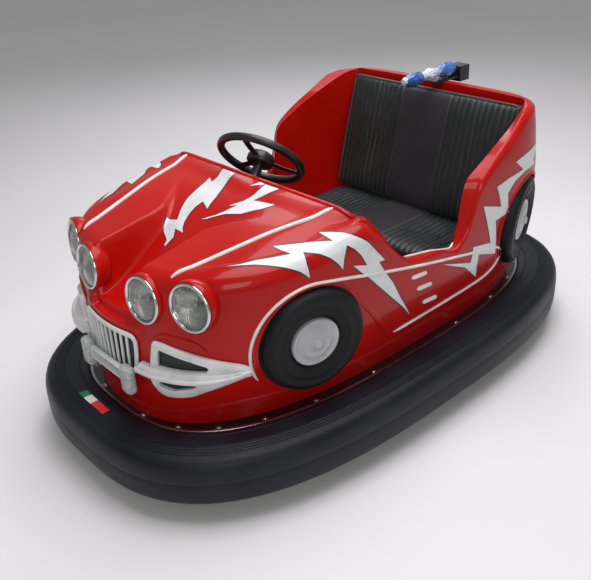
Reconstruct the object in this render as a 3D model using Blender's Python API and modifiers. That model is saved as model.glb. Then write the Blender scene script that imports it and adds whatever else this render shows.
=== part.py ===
"""Fairground bumper car. Metres, standing on the floor at z = 0: +Z up, nose at -Y, the car's left at +X."""

import math

import bmesh
import bpy
import numpy as np
from mathutils import Matrix, Vector

# Overall size, and the gap left where one piece rests on another
LENGTH = 1.966
WIDTH = 1.200
SEAT_GAP = 0.0004
ACROSS = WIDTH / 2
ALONG = LENGTH / 2

# Rubber bumper and the steel hoop inside it
BUMPER_POWER = 2.89
BUMPER_BOTTOM = 0.075
BUMPER_TOP = 0.225
BUMPER_DEEP = 0.2267 * ACROSS
BUMPER_SEGMENTS = 48
HOOP_THICK = 0.008
HOOP_UP = 0.020
HOOP_SHORT = 0.011

# Deck and the rails under it
DECK_TOP = 0.206
DECK_THICK = 0.006
DECK_BOTTOM = DECK_TOP - DECK_THICK
RAIL_X = 0.205
RAIL_WIDE = 0.030
RAIL_DEEP = 0.040
RAIL_HALF_LONG = 0.651 * ALONG

# Body moulding
SKIN = 0.005
BODY_FOOT = DECK_TOP + SEAT_GAP
COWL_Y = -0.2543 * ALONG
COWL_Z = 0.748
HOOD_SLOPE = 0.178
VALLEY_EDGE = 0.153 * ACROSS
RIM_BACK_Z = 0.865
LINER_GAP = 0.030
ARCH_LINER_GAP = 0.048
SNOUT_FACE = -0.8444 * ALONG
SNOUT_HALF = 0.2333 * ACROSS
SNOUT_BOW = 1.1
SNOUT_LOW = 0.320
SNOUT_HIGH = 0.500

# Wheels on the floor
WHEEL_STEPS = 20
AXLE_RADIUS = 0.009
BORE_RADIUS = AXLE_RADIUS + SEAT_GAP
DRIVE_PIVOT_Y = -0.509 * ALONG
DRIVE_WHEEL_RADIUS = 0.120
DRIVE_WHEEL_WIDE = 0.056
DRIVE_TYRE_DEEP = 0.028
REAR_WHEEL_RADIUS = 0.085
REAR_WHEEL_WIDE = 0.045
REAR_TYRE_DEEP = 0.020
REAR_WHEEL_X = 0.270
REAR_WHEEL_Y = 0.437 * ALONG
BRACKET_THICK = 0.014

# Turning unit that carries the drive wheel
TABLE_RADIUS = 0.145
TABLE_THICK = 0.012
DECK_HOLE = 0.125
SLOT_X = 0.052
SLOT_Y = 0.100
WHEEL_CLEAR = 0.008
FORK_THICK = 0.008
FORK_HALF = 0.028
BRIDGE_THICK = 0.012
LUG_REACH = 0.030
LUG_HALF = 0.045
MOTOR_RADIUS = 0.062
MOTOR_TALL = 0.150

# Steering
STEER_CENTRE = Vector((-0.1667 * ACROSS, -0.1526 * ALONG, 0.757))
STEER_AXIS = Vector((-0.25, 0.70, 0.67)).normalized()
STEER_RADIUS = 0.150
STEER_RIM = 0.013
STEER_CORE = 0.045
SPOKE_HALF = 0.012
COLUMN_RADIUS = 0.016
COLUMN_LONG = 0.335
DASH_Y = -0.354 * ALONG
DASH_HALF = 0.60 * ACROSS
DASH_TOP = 0.690
DASH_THICK = 0.006

# Dummy road wheels on the body's sides
DUMMY_STEPS = 24
DUMMY_RADIUS = 0.156
DUMMY_HOLE = DUMMY_RADIUS + 0.008
HUBCAP_RADIUS = 0.074
DUMMY_TILT = 4.0
# place, yaw in degrees and depth of the well
FRONT_DUMMY = (Vector((0.7633 * ACROSS, -0.4608 * ALONG, 0.442)), -13.0, 0.045)
REAR_DUMMY = (Vector((0.7233 * ACROSS, 0.5544 * ALONG, 0.470)), 20.0, 0.030)

# Headlamps: place and how far each looks outwards
LAMP_STEPS = 18
LAMP_RADIUS = 0.110 * ACROSS
LAMP_HOLE = LAMP_RADIUS + 0.004
LENS_RADIUS = LAMP_RADIUS - 0.007
INNER_LAMP_X = LAMP_RADIUS + 0.135 * ACROSS
OUTER_LAMP_X = INNER_LAMP_X + 2 * LAMP_RADIUS + 0.0417 * ACROSS
INNER_LAMP = (Vector((INNER_LAMP_X, -0.7986 * ALONG, 0.590)), 0.10)
OUTER_LAMP = (Vector((OUTER_LAMP_X, -0.7508 * ALONG, 0.607)), 0.26)

# Seat
SEAT_HALF = 0.7283 * ACROSS - ARCH_LINER_GAP - SKIN
SEAT_FRONT = 0.173 * ALONG
SEAT_REAR = 0.539 * ALONG
CUSHION_TOP = 0.430
CUSHION_THICK = 0.095
BASE_INSET = 0.019
BACK_FOOT_Y = 0.4445 * ALONG
BACK_THICK = 0.045
BACK_TALL = 0.437
BACK_LEAN = 16.0

# Nose trim
GRILLE_HALF = 0.2283 * ACROSS
GRILLE_THICK = 0.010
GRILLE_LOW = 0.352
GRILLE_HIGH = 0.489
GRILLE_SLOTS = 8
GRILLE_BAR = 0.010
GRILLE_FRAME = 0.018
PLATE_HALF = 0.140 * ACROSS
PLATE_LOW = 0.336
PLATE_TALL = 0.042
PLATE_THICK = 0.017
OVERRIDER_WIDE = 0.0476
OVERRIDER_LOW = 0.303
OVERRIDER_TALL = 0.090
OVERRIDER_THICK = 0.032

# Side bumpers: the wing that hugs the body and the blade that stands out from it
WING_THICK = 0.013
WING_GAP = 0.0008
BLADE_TOP = 0.404
BLADE_THICK = 0.016

# Socket of the contact pole
SOCKET_HALF = 0.028
SOCKET_FRONT = 0.724 * ALONG
SOCKET_REAR = 0.778 * ALONG
SOCKET_LOW = 0.850
SOCKET_HIGH = 0.905
STRAP_THICK = 0.006
STRAP_FRONT = 0.600 * ALONG
WRAP_FRONT = 0.430 * ALONG
WRAP_RADIUS = 0.028

RED = ((0.50, 0.012, 0.008), 0.25)
RUBBER = ((0.018, 0.020, 0.032), 0.55)
BLACK = ((0.010, 0.010, 0.011), 0.30)
STEEL = ((0.28, 0.28, 0.29), 0.35, 1.0)
CHROME = ((0.75, 0.75, 0.76), 0.15, 1.0)
SILVER = ((0.62, 0.63, 0.62), 0.35)
VINYL = ((0.012, 0.016, 0.018), 0.42)
GLASS = ((0.62, 0.64, 0.60), 0.10)
FILM = ((0.35, 0.45, 0.70), 0.12)

HANDS = ((1, "left"), (-1, "right"))


# Tools

def clear_scene():
    for old in list(bpy.data.objects):
        bpy.data.objects.remove(old, do_unlink=True)


def collection(name, shown):
    made = bpy.data.collections.new(name)
    made.hide_render = not shown
    bpy.context.scene.collection.children.link(made)
    return made


def material(name, colour, rough, metal=0.0):
    made = bpy.data.materials.new(name)
    made.use_nodes = True
    shader = made.node_tree.nodes["Principled BSDF"]
    shader.inputs["Base Color"].default_value = (*colour, 1.0)
    shader.inputs["Roughness"].default_value = rough
    shader.inputs["Metallic"].default_value = metal
    made.diffuse_color = (*colour, 1.0)
    return made


def add_piece(name, mesh, look, matrix=Matrix(), parent=None):
    """An object of the car, placed in the world or, under a parent, from the parent's axis."""
    obj = bpy.data.objects.new(name, mesh)
    car.objects.link(obj)
    mesh.materials.append(material(name, *look))
    obj.parent = parent
    obj.matrix_basis = matrix
    return obj


def add_axis(name, matrix, parent=None):
    """An empty whose Z is the axis that its children turn about."""
    made = bpy.data.objects.new(name, None)
    car.objects.link(made)
    made.parent = parent
    made.matrix_basis = matrix
    return made


def add_cutter(name, mesh, matrix=Matrix(), parent=None):
    obj = bpy.data.objects.new(name, mesh)
    cutters.objects.link(obj)
    obj.hide_render = True
    obj.display_type = "WIRE"
    obj.parent = parent
    obj.matrix_basis = matrix
    return obj


def combine(obj, other, operation):
    made = obj.modifiers.new(operation.title(), "BOOLEAN")
    made.operation = operation
    made.solver = "EXACT"
    made.object = other


def round_edges(obj, width, segments=2):
    made = obj.modifiers.new("Edges", "BEVEL")
    made.width = width
    made.segments = segments


def mesh_from(name, made):
    mesh = bpy.data.meshes.new(name)
    made.to_mesh(mesh)
    made.free()
    return mesh


def smooth(mesh):
    mesh.shade_smooth()
    mesh.set_sharp_from_angle(angle=math.radians(35))
    return mesh


def box_mesh(name, low, high):
    """A box between two corners."""
    low, high = Vector(low), Vector(high)
    size = Matrix.Diagonal((*(high - low), 1.0))
    made = bmesh.new()
    bmesh.ops.create_cube(made, size=1.0, matrix=Matrix.Translation((low + high) / 2) @ size)
    return mesh_from(name, made)


def rod_mesh(name, radius, low, high, segments=16):
    """A cylinder about Z between two heights."""
    made = bmesh.new()
    bmesh.ops.create_cone(
        made, cap_ends=True, segments=segments, radius1=radius, radius2=radius, depth=high - low,
        matrix=Matrix.Translation((0.0, 0.0, (low + high) / 2)),
    )
    return smooth(mesh_from(name, made))


def profile_mesh(name, profile, closed):
    """The (radius, height) points of a turned shape, joined by edges."""
    made = bmesh.new()
    points = [made.verts.new((radius, 0.0, height)) for radius, height in profile]
    for first, second in zip(points, points[1:]):
        made.edges.new((first, second))
    if closed:
        made.edges.new((points[-1], points[0]))
    return mesh_from(name, made)


def turn(obj, steps):
    screw = obj.modifiers.new("Turn", "SCREW")
    screw.steps = screw.render_steps = steps
    screw.use_merge_vertices = True
    screw.merge_threshold = 0.00001
    screw.use_smooth_shade = True
    screw.use_normal_flip = True
    return obj


def turned(name, profile, steps, look, matrix=Matrix(), parent=None, closed=False):
    """A round piece: its profile, inner side first and upwards, turned about its own Z."""
    return turn(add_piece(name, profile_mesh(name, profile, closed), look, matrix, parent), steps)


def turned_cutter(name, radius, low, high, steps, matrix):
    profile = [(0.0, low), (radius, low), (radius, high), (0.0, high)]
    return turn(add_cutter(name, profile_mesh(name, profile, False), matrix), steps)


def facing(centre, direction):
    """The placement whose Z looks along the direction."""
    aim = Vector(direction).to_track_quat("Z", "Y").to_matrix().to_4x4()
    return Matrix.Translation(centre) @ aim


def loft_mesh(name, rows, wrap_rows, wrap_points=True, capped=False):
    """Quads between successive rows of as many points each."""
    made = bmesh.new()
    grid = [[made.verts.new(point) for point in row] for row in rows]
    following = list(zip(grid, grid[1:]))
    if wrap_rows:
        following.append((grid[-1], grid[0]))
    count = len(grid[0])
    for row, after in following:
        for i in range(count if wrap_points else count - 1):
            n = (i + 1) % count
            made.faces.new((row[i], row[n], after[n], after[i]))
    if capped:
        made.faces.new(grid[0][::-1])
        made.faces.new(grid[-1])
    return mesh_from(name, made)


def plan_outline(half_wide, half_long, power, count):
    """A superellipse seen from above, counterclockwise."""
    found = []
    for i in range(count):
        angle = 2 * math.pi * i / count
        c, s = math.cos(angle), math.sin(angle)
        x = half_wide * math.copysign(abs(c) ** (2 / power), c)
        y = half_long * math.copysign(abs(s) ** (2 / power), s)
        found.append((x, y))
    return found


def smooth_step(low, high, value):
    t = min(1.0, max(0.0, (value - low) / (high - low)))
    return t * t * (3 - 2 * t)


# Body moulding

# Levels of its outside: height, half width, front and rear half length, front and rear power of its outline
LEVELS = (
    (0.206, 0.7000 * ACROSS, 0.8362 * ALONG, 0.7630 * ALONG, 2.65, 3.6),
    (0.330, 0.7500 * ACROSS, 0.8321 * ALONG, 0.7813 * ALONG, 2.90, 3.8),
    (0.430, 0.7833 * ACROSS, 0.8260 * ALONG, 0.7894 * ALONG, 3.10, 4.0),
    (0.530, 0.7967 * ACROSS, 0.8138 * ALONG, 0.7874 * ALONG, 3.20, 4.2),
    (0.620, 0.8033 * ACROSS, 0.7996 * ALONG, 0.7731 * ALONG, 3.20, 4.4),
    (0.720, 0.8117 * ACROSS, 0.7833 * ALONG, 0.7375 * ALONG, 3.20, 4.7),
    (0.865, 0.7917 * ACROSS, 0.7731 * ALONG, 0.6735 * ALONG, 3.20, 6.0),
)
WIDEST = 3

# Its ribs, nose to tail: where each meets the widest level (x on the nose and the tail, y on the sides) and
# the rim point that it climbs to, both as shares of the half width and half length, the rim's height, the
# radius of its shoulder and how far the inner skin goes down
RIBS = (
    ("nose", 0.0000, (0.0000, -0.2543), COWL_Z, 0.022, 0.035),
    ("nose", 0.0750, (0.1500, -0.2543), COWL_Z, 0.022, 0.035),
    ("nose", 0.1367, (0.2750, -0.2543), COWL_Z, 0.022, 0.035),
    ("nose", 0.1633, (0.3333, -0.2543), COWL_Z, 0.035, 0.035),
    ("nose", 0.2217, (0.4000, -0.2543), COWL_Z, 0.045, 0.035),
    ("nose", 0.2450, (0.4367, -0.2543), COWL_Z, 0.050, 0.035),
    ("nose", 0.3683, (0.5417, -0.2543), COWL_Z, 0.050, 0.035),
    ("nose", 0.5000, (0.6033, -0.2543), COWL_Z - 0.001, 0.055, 0.035),
    ("nose", 0.6167, (0.6333, -0.2543), COWL_Z - 0.003, 0.060, 0.035),
    ("side", -0.6104, (0.6500, -0.2533), COWL_Z - 0.006, 0.060, 0.035),
    ("side", -0.4578, (0.6650, -0.2503), COWL_Z - 0.011, 0.055, 0.035),
    ("side", -0.3154, (0.6883, -0.2360), COWL_Z - 0.024, 0.050, 0.035),
    ("side", -0.2238, (0.7200, -0.1912), 0.690, 0.036, 0.060),
    ("side", -0.1628, (0.7450, -0.1475), 0.625, 0.022, 0.200),
    ("side", -0.1017, (0.7567, -0.1058), 0.571, 0.012, 0.330),
    ("side", 0.0305, (0.7567, 0.0305), 0.540, 0.010, 0.310),
    ("side", 0.1424, (0.7467, 0.1424), 0.510, 0.010, 0.280),
    ("side", 0.1933, (0.7333, 0.1811), 0.560, 0.012, 0.300),
    ("side", 0.2340, (0.7333, 0.2157), 0.700, 0.016, 0.380),
    ("side", 0.2950, (0.7333, 0.2950), 0.748, 0.018, 0.430),
    ("side", 0.4273, (0.7117, 0.4476), 0.812, 0.020, 0.500),
    ("side", 0.5493, (0.6667, 0.5697), 0.858, 0.020, 0.540),
    ("tail", 0.6917, (0.6200, 0.6104), RIM_BACK_Z, 0.020, 0.420),
    ("tail", 0.5333, (0.5000, 0.6287), RIM_BACK_Z, 0.020, 0.100),
    ("tail", 0.2667, (0.2667, 0.6348), RIM_BACK_Z, 0.020, 0.080),
    ("tail", 0.0000, (0.0000, 0.6368), RIM_BACK_Z, 0.020, 0.080),
)
SIDE_ROWS = (0.0, 0.20, 0.38, 0.52, 0.66, 0.82, 1.0)
SHOULDER_ROWS = (30, 60, 90)
TOP_ROWS = (0.14, 0.30, 0.48, 0.66, 0.84, 1.0)
INNER_ROWS = (0.5, 1.0)
# How high the hood stands: its crown, the drop at its outer edges, and the valley between its two ridges
HOOD_CROWN = 0.010
HOOD_FALL = 0.020
VALLEY_DEEP = 0.142
VALLEY_WIDER = 0.200


def level(z):
    """Half width, half lengths and powers of the outside at a height."""
    heights = [row[0] for row in LEVELS]
    return [float(np.interp(z, heights, [row[i] for row in LEVELS])) for i in range(1, 6)]


def rib_angle(kind, share):
    _, wide, front, rear, front_power, rear_power = LEVELS[WIDEST]
    if kind == "nose":
        return math.asin((share * ACROSS / wide) ** (front_power / 2))
    if kind == "tail":
        return math.pi - math.asin((share * ACROSS / wide) ** (rear_power / 2))
    if share < 0:
        return math.acos((-share * ALONG / front) ** (front_power / 2))
    return math.pi - math.acos((share * ALONG / rear) ** (rear_power / 2))


def on_skin(angle, z, inset=0.0):
    """The outside's point at a rib's angle and a height, moved inwards by the inset."""
    wide, front, rear, front_power, rear_power = level(z)
    ahead = math.cos(angle) > 0
    power = front_power if ahead else rear_power
    long = front if ahead else rear
    x = (wide - inset) * math.sin(angle) ** (2 / power)
    y = (long - inset) * abs(math.cos(angle)) ** (2 / power)
    return np.array([x, -y if ahead else y, z])


def snout_face(x):
    """Where the flat-fronted snout that carries the grille comes to, bowed a little across."""
    return SNOUT_FACE + SNOUT_BOW * x * x


def valley(x, y):
    """How far the panel between the two ridges of the hood lies below them."""
    deep = VALLEY_DEEP * smooth_step(-0.366 * ALONG, -0.814 * ALONG, y) ** 1.2
    edge = VALLEY_EDGE + VALLEY_WIDER * ACROSS * smooth_step(-0.570 * ALONG, -0.366 * ALONG, y)
    return deep * smooth_step(edge + 0.006, edge - 0.014, abs(x))


def hood(x, y):
    ridge = COWL_Z + HOOD_SLOPE * (y - COWL_Y) + HOOD_CROWN * smooth_step(COWL_Y, 2 * COWL_Y, y)
    fall = HOOD_FALL * smooth_step(0.50 * ACROSS, 0.70 * ACROSS, abs(x))
    return ridge - fall - valley(x, y)


def rib(kind, share, rim_plan, rim_z, radius, drop):
    """One rib of the moulding: up the outside, over the shoulder, along to the rim and down inside it."""
    angle = rib_angle(kind, share)
    rim = np.array([rim_plan[0] * ACROSS, rim_plan[1] * ALONG, rim_z])
    hooded = kind == "nose" or (kind == "side" and share < -0.25)
    top = rim_z
    if hooded:
        for _ in range(4):
            guess = on_skin(angle, top, radius)
            top = hood(guess[0], guess[1])
    base = top - radius
    points = [on_skin(angle, BODY_FOOT + t * (base - BODY_FOOT)) for t in SIDE_ROWS]
    if kind == "nose" and share * ACROSS < SNOUT_HALF:
        for point in points:
            if SNOUT_LOW < point[2] < SNOUT_HIGH:
                point[1] = min(point[1], snout_face(point[0]))
    for degrees in SHOULDER_ROWS:
        bend = math.radians(degrees)
        point = on_skin(angle, base, radius * (1 - math.cos(bend)))
        point[2] = base + radius * math.sin(bend)
        points.append(point)
    shoulder = points[-1]
    for t in TOP_ROWS:
        point = shoulder + t * (rim - shoulder)
        if hooded:
            blend = smooth_step(0.8, 1.0, t)
            point[2] = hood(point[0], point[1]) * (1 - blend) + rim_z * blend
        points.append(point)
    gap = ARCH_LINER_GAP if kind == "tail" or share > 0.2 else LINER_GAP
    for t in INNER_ROWS:
        point = rim - np.array([0.0, 0.0, drop * t])
        point[0] = min(point[0], on_skin(angle, point[2], gap)[0])
        points.append(point)
    return points


def body_shell():
    """The glass-fibre body: half of it lofted rib by rib, mirrored, and given its thickness."""
    mesh = smooth(loft_mesh("body_shell", [rib(*row) for row in RIBS], False, wrap_points=False))
    mesh.flip_normals()
    obj = add_piece("body_shell", mesh, RED)
    halves = obj.modifiers.new("Halves", "MIRROR")
    halves.merge_threshold = 0.00001
    skin = obj.modifiers.new("Skin", "SOLIDIFY")
    skin.thickness = SKIN
    skin.offset = -1
    return obj


# Dummy road wheels and headlamps, each in its well in the body

def dummy_wheel(shell, side, name, spot, yaw, deep):
    yaw, tilt = math.radians(yaw), math.radians(DUMMY_TILT)
    direction = (side * math.cos(yaw) * math.cos(tilt), math.sin(yaw) * math.cos(tilt), -math.sin(tilt))
    where = facing((side * spot.x, spot.y, spot.z), direction)
    end = name.format("arch")
    combine(shell, turned_cutter(end, DUMMY_HOLE, -deep, 0.060, DUMMY_STEPS, where), "DIFFERENCE")
    flange = DUMMY_HOLE - SEAT_GAP
    back = 0.003 - deep
    tyre = [
        (HUBCAP_RADIUS, back),
        (flange, back),
        (flange, -0.016),
        (DUMMY_RADIUS, -0.016),
        (DUMMY_RADIUS, -0.002),
        (DUMMY_RADIUS - 0.014, 0.012),
        (DUMMY_RADIUS - 0.048, 0.014),
        (HUBCAP_RADIUS + 0.006, 0.004),
        (HUBCAP_RADIUS, -0.004),
    ]
    turned(name.format("dummy_tyre"), tyre, DUMMY_STEPS, RUBBER, where, closed=True)
    cap = HUBCAP_RADIUS - SEAT_GAP
    hubcap = [
        (0.0, -0.010),
        (cap, -0.010),
        (cap, 0.006),
        (cap - 0.010, 0.009),
        (cap - 0.016, 0.005),
        (0.040, 0.014),
        (0.014, 0.018),
        (0.011, 0.024),
        (0.0, 0.026),
    ]
    turned(name.format("hubcap"), hubcap, DUMMY_STEPS, SILVER, where)


def headlamp(shell, side, name, spot, outwards):
    where = facing((side * spot.x, spot.y, spot.z), (side * outwards, -1.0, 0.10))
    bowl = turned_cutter(name.format("bowl"), LAMP_HOLE, -0.060, 0.080, LAMP_STEPS, where)
    combine(shell, bowl, "DIFFERENCE")
    bucket = LAMP_HOLE - SEAT_GAP
    bezel = [
        (0.0, -0.050),
        (bucket / 2, -0.050),
        (bucket, -0.030),
        (bucket, -0.012),
        (LAMP_RADIUS, -0.010),
        (LAMP_RADIUS, 0.004),
        (LAMP_RADIUS - 0.003, 0.007),
        (LENS_RADIUS, 0.004),
        (LENS_RADIUS, -0.004),
        (0.0, -0.004),
    ]
    turned(name.format("headlamp_bezel"), bezel, LAMP_STEPS, CHROME, where)
    glass = LENS_RADIUS - SEAT_GAP
    lens = [
        (0.0, SEAT_GAP - 0.004),
        (glass, SEAT_GAP - 0.004),
        (glass, 0.004),
        (glass * 0.75, 0.010),
        (glass * 0.40, 0.014),
        (0.0, 0.016),
    ]
    turned(name.format("headlamp_lens"), lens, LAMP_STEPS, GLASS, where)


def wheels_and_lamps(shell):
    for side, hand in HANDS:
        dummy_wheel(shell, side, "front_{}_" + hand, *FRONT_DUMMY)
        dummy_wheel(shell, side, "rear_{}_" + hand, *REAR_DUMMY)
        headlamp(shell, side, "inner_{}_" + hand, *INNER_LAMP)
        headlamp(shell, side, "outer_{}_" + hand, *OUTER_LAMP)


# Bumper ring, steel hoop and deck

def ring(name, section, look):
    """A ring round the car: each (inset, height) of the section follows the bumper's outline."""
    rows = [
        [(x, y, z) for x, y in plan_outline(ACROSS - inset, ALONG - inset, BUMPER_POWER, BUMPER_SEGMENTS)]
        for inset, z in section
    ]
    return add_piece(name, smooth(loft_mesh(name, rows, True)), look)


def bumper():
    section = (
        (BUMPER_DEEP, BUMPER_BOTTOM),
        (0.016, BUMPER_BOTTOM),
        (0.003, BUMPER_BOTTOM + 0.016),
        (0.000, BUMPER_BOTTOM + 0.050),
        (0.000, BUMPER_TOP - 0.060),
        (0.006, BUMPER_TOP - 0.026),
        (0.024, BUMPER_TOP - 0.006),
        (0.050, BUMPER_TOP),
        (BUMPER_DEEP - 0.032, BUMPER_TOP - 0.002),
        (BUMPER_DEEP - 0.006, BUMPER_TOP - 0.008),
        (BUMPER_DEEP, BUMPER_TOP - 0.016),
    )
    ring("bumper_tyre", section, RUBBER)
    outer = BUMPER_DEEP + SEAT_GAP
    inner = outer + HOOP_THICK
    low, high = BUMPER_BOTTOM + HOOP_UP, BUMPER_TOP - HOOP_SHORT
    ring("bumper_hoop", ((inner, low), (outer, low), (outer, high), (inner, high)), STEEL)
    return inner + SEAT_GAP


def outline_mesh(name, points, thick):
    """A flat plate of the outline, about z = 0, made a mesh so that it can be cut."""
    curve = bpy.data.curves.new(name, "CURVE")
    curve.dimensions = "2D"
    curve.fill_mode = "BOTH"
    curve.extrude = thick / 2
    line = curve.splines.new("POLY")
    line.points.add(len(points) - 1)
    for point, (x, y) in zip(line.points, points):
        point.co = (x, y, 0.0, 1.0)
    line.use_cyclic_u = True
    drawn = bpy.data.objects.new(name, curve)
    cutters.objects.link(drawn)
    graph = bpy.context.evaluated_depsgraph_get()
    mesh = bpy.data.meshes.new_from_object(drawn.evaluated_get(graph))
    bpy.data.objects.remove(drawn)
    made = bmesh.new()
    made.from_mesh(mesh)
    bmesh.ops.remove_doubles(made, verts=made.verts, dist=0.00001)
    made.to_mesh(mesh)
    made.free()
    return mesh


def deck(inset):
    points = plan_outline(ACROSS - inset, ALONG - inset, BUMPER_POWER, BUMPER_SEGMENTS)
    middle = Matrix.Translation((0.0, 0.0, DECK_TOP - DECK_THICK / 2))
    plate = add_piece("deck", outline_mesh("deck", points, DECK_THICK), BLACK, middle)
    pivot = Matrix.Translation((0.0, DRIVE_PIVOT_Y, 0.0))
    hole = rod_mesh("deck_hole", DECK_HOLE, DECK_BOTTOM - 0.02, DECK_TOP + 0.02, 40)
    combine(plate, add_cutter("deck_hole", hole, pivot), "DIFFERENCE")


# Drive unit: the turntable on the deck carries the fork, the wheel and its motor

def wheel(name, radius, wide, tyre_deep, axle):
    """A rubber tyre on a steel hub, about the axle's axis."""
    half = wide / 2
    seat = radius - tyre_deep
    tyre = [
        (seat, 0.003 - half),
        (radius - 0.004, -half),
        (radius, 0.004 - half),
        (radius, half - 0.004),
        (radius - 0.004, half),
        (seat, half - 0.003),
    ]
    turned(name + "_tyre", tyre, WHEEL_STEPS, RUBBER, parent=axle, closed=True)
    web = seat - 0.012
    boss = BORE_RADIUS + 0.012
    hub = [
        (BORE_RADIUS, -half),
        (boss, -half),
        (boss, -0.006),
        (web, -0.006),
        (web, 0.004 - half),
        (seat - SEAT_GAP, 0.004 - half),
        (seat - SEAT_GAP, half - 0.004),
        (web, half - 0.004),
        (web, 0.006),
        (boss, 0.006),
        (boss, half),
        (BORE_RADIUS, half),
    ]
    turned(name + "_hub", hub, WHEEL_STEPS, STEEL, parent=axle, closed=True)


def drive_unit():
    pivot = add_axis("drive_unit_pivot", Matrix.Translation((0.0, DRIVE_PIVOT_Y, 0.0)))
    table_low = DECK_TOP + SEAT_GAP
    table_high = table_low + TABLE_THICK
    disc = rod_mesh("drive_turntable", TABLE_RADIUS, table_low, table_high, 40)
    table = add_piece("drive_turntable", disc, STEEL, parent=pivot)
    slot = box_mesh("table_slot", (-SLOT_X, -SLOT_Y, table_low - 0.02), (SLOT_X, SLOT_Y, table_high + 0.02))
    combine(table, add_cutter("table_slot", slot, parent=pivot), "DIFFERENCE")

    leg_in = DRIVE_WHEEL_WIDE / 2 + WHEEL_CLEAR
    leg_out = leg_in + FORK_THICK
    lug_low = table_high + SEAT_GAP
    bridge_low = max(2 * DRIVE_WHEEL_RADIUS + BRIDGE_THICK, lug_low + FORK_THICK)
    bridge_high = bridge_low + BRIDGE_THICK
    bridge = box_mesh("drive_fork", (-leg_out, -FORK_HALF, bridge_low), (leg_out, FORK_HALF, bridge_high))
    fork = add_piece("drive_fork", bridge, STEEL, parent=pivot)
    narrow = FORK_HALF - 0.001
    for side, hand in HANDS:
        inner, outer = sorted((side * leg_in, side * leg_out))
        leg = box_mesh(
            "fork_leg", (inner, -narrow, DRIVE_WHEEL_RADIUS - 0.024), (outer, narrow, bridge_high - 0.004)
        )
        combine(fork, add_cutter("fork_leg_" + hand, leg, parent=pivot), "UNION")
        inner, outer = sorted((side * (leg_in + 0.003), side * (SLOT_X + LUG_REACH)))
        lug = box_mesh("fork_lug", (inner, -LUG_HALF, lug_low), (outer, LUG_HALF, lug_low + FORK_THICK))
        combine(fork, add_cutter("fork_lug_" + hand, lug, parent=pivot), "UNION")
    across = facing((0.0, 0.0, DRIVE_WHEEL_RADIUS), (1, 0, 0))
    axle = add_axis("drive_wheel_axis", across, pivot)
    bore = add_cutter("fork_bore", rod_mesh("fork_bore", BORE_RADIUS, -0.08, 0.08), parent=axle)
    combine(fork, bore, "DIFFERENCE")
    reach = leg_out + 0.004
    add_piece("drive_axle", rod_mesh("drive_axle", AXLE_RADIUS, -reach, reach), STEEL, across, pivot)
    motor_low = bridge_high + SEAT_GAP
    motor = rod_mesh("drive_motor", MOTOR_RADIUS, motor_low, motor_low + MOTOR_TALL, 24)
    add_piece("drive_motor", motor, STEEL, parent=pivot)
    wheel("drive_wheel", DRIVE_WHEEL_RADIUS, DRIVE_WHEEL_WIDE, DRIVE_TYRE_DEEP, axle)


# Rails under the deck, with the rear axle hung from them

def chassis():
    rail_high = DECK_BOTTOM - SEAT_GAP
    for side, hand in HANDS:
        inner, outer = side * (RAIL_X - RAIL_WIDE / 2), side * (RAIL_X + RAIL_WIDE / 2)
        low_x, high_x = sorted((inner, outer))
        rail = box_mesh(
            "rail", (low_x, -RAIL_HALF_LONG, rail_high - RAIL_DEEP), (high_x, RAIL_HALF_LONG, rail_high)
        )
        add_piece("chassis_rail_" + hand, rail, STEEL)
        axle = add_axis(
            f"rear_wheel_{hand}_axis",
            facing((side * REAR_WHEEL_X, REAR_WHEEL_Y, REAR_WHEEL_RADIUS), (side, 0, 0)),
        )
        low_x, high_x = sorted((outer + side * SEAT_GAP, outer + side * BRACKET_THICK))
        plate = box_mesh(
            "bracket",
            (low_x, REAR_WHEEL_Y - 0.030, REAR_WHEEL_RADIUS - 0.022),
            (high_x, REAR_WHEEL_Y + 0.030, rail_high),
        )
        bracket = add_piece("axle_bracket_" + hand, plate, STEEL)
        bore = rod_mesh("bracket_bore", BORE_RADIUS, -0.20, 0.10)
        combine(bracket, add_cutter("bracket_bore_" + hand, bore, parent=axle), "DIFFERENCE")
        wheel(f"rear_wheel_{hand}", REAR_WHEEL_RADIUS, REAR_WHEEL_WIDE, REAR_TYRE_DEEP, axle)
    reach = REAR_WHEEL_X + REAR_WHEEL_WIDE / 2 + 0.0095
    rod = rod_mesh("rear_axle", AXLE_RADIUS, -reach, reach)
    add_piece("rear_axle", rod, STEEL, facing((0.0, REAR_WHEEL_Y, REAR_WHEEL_RADIUS), (1, 0, 0)))


# Dash and steering

def dash(column):
    panel = box_mesh(
        "dash_panel", (-DASH_HALF, DASH_Y, DECK_TOP + SEAT_GAP), (DASH_HALF, DASH_Y + DASH_THICK, DASH_TOP)
    )
    obj = add_piece("dash_panel", panel, BLACK)
    hole = rod_mesh("column_hole", COLUMN_RADIUS + SEAT_GAP, -0.50, 0.10)
    combine(obj, add_cutter("column_hole", hole, parent=column), "DIFFERENCE")


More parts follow.
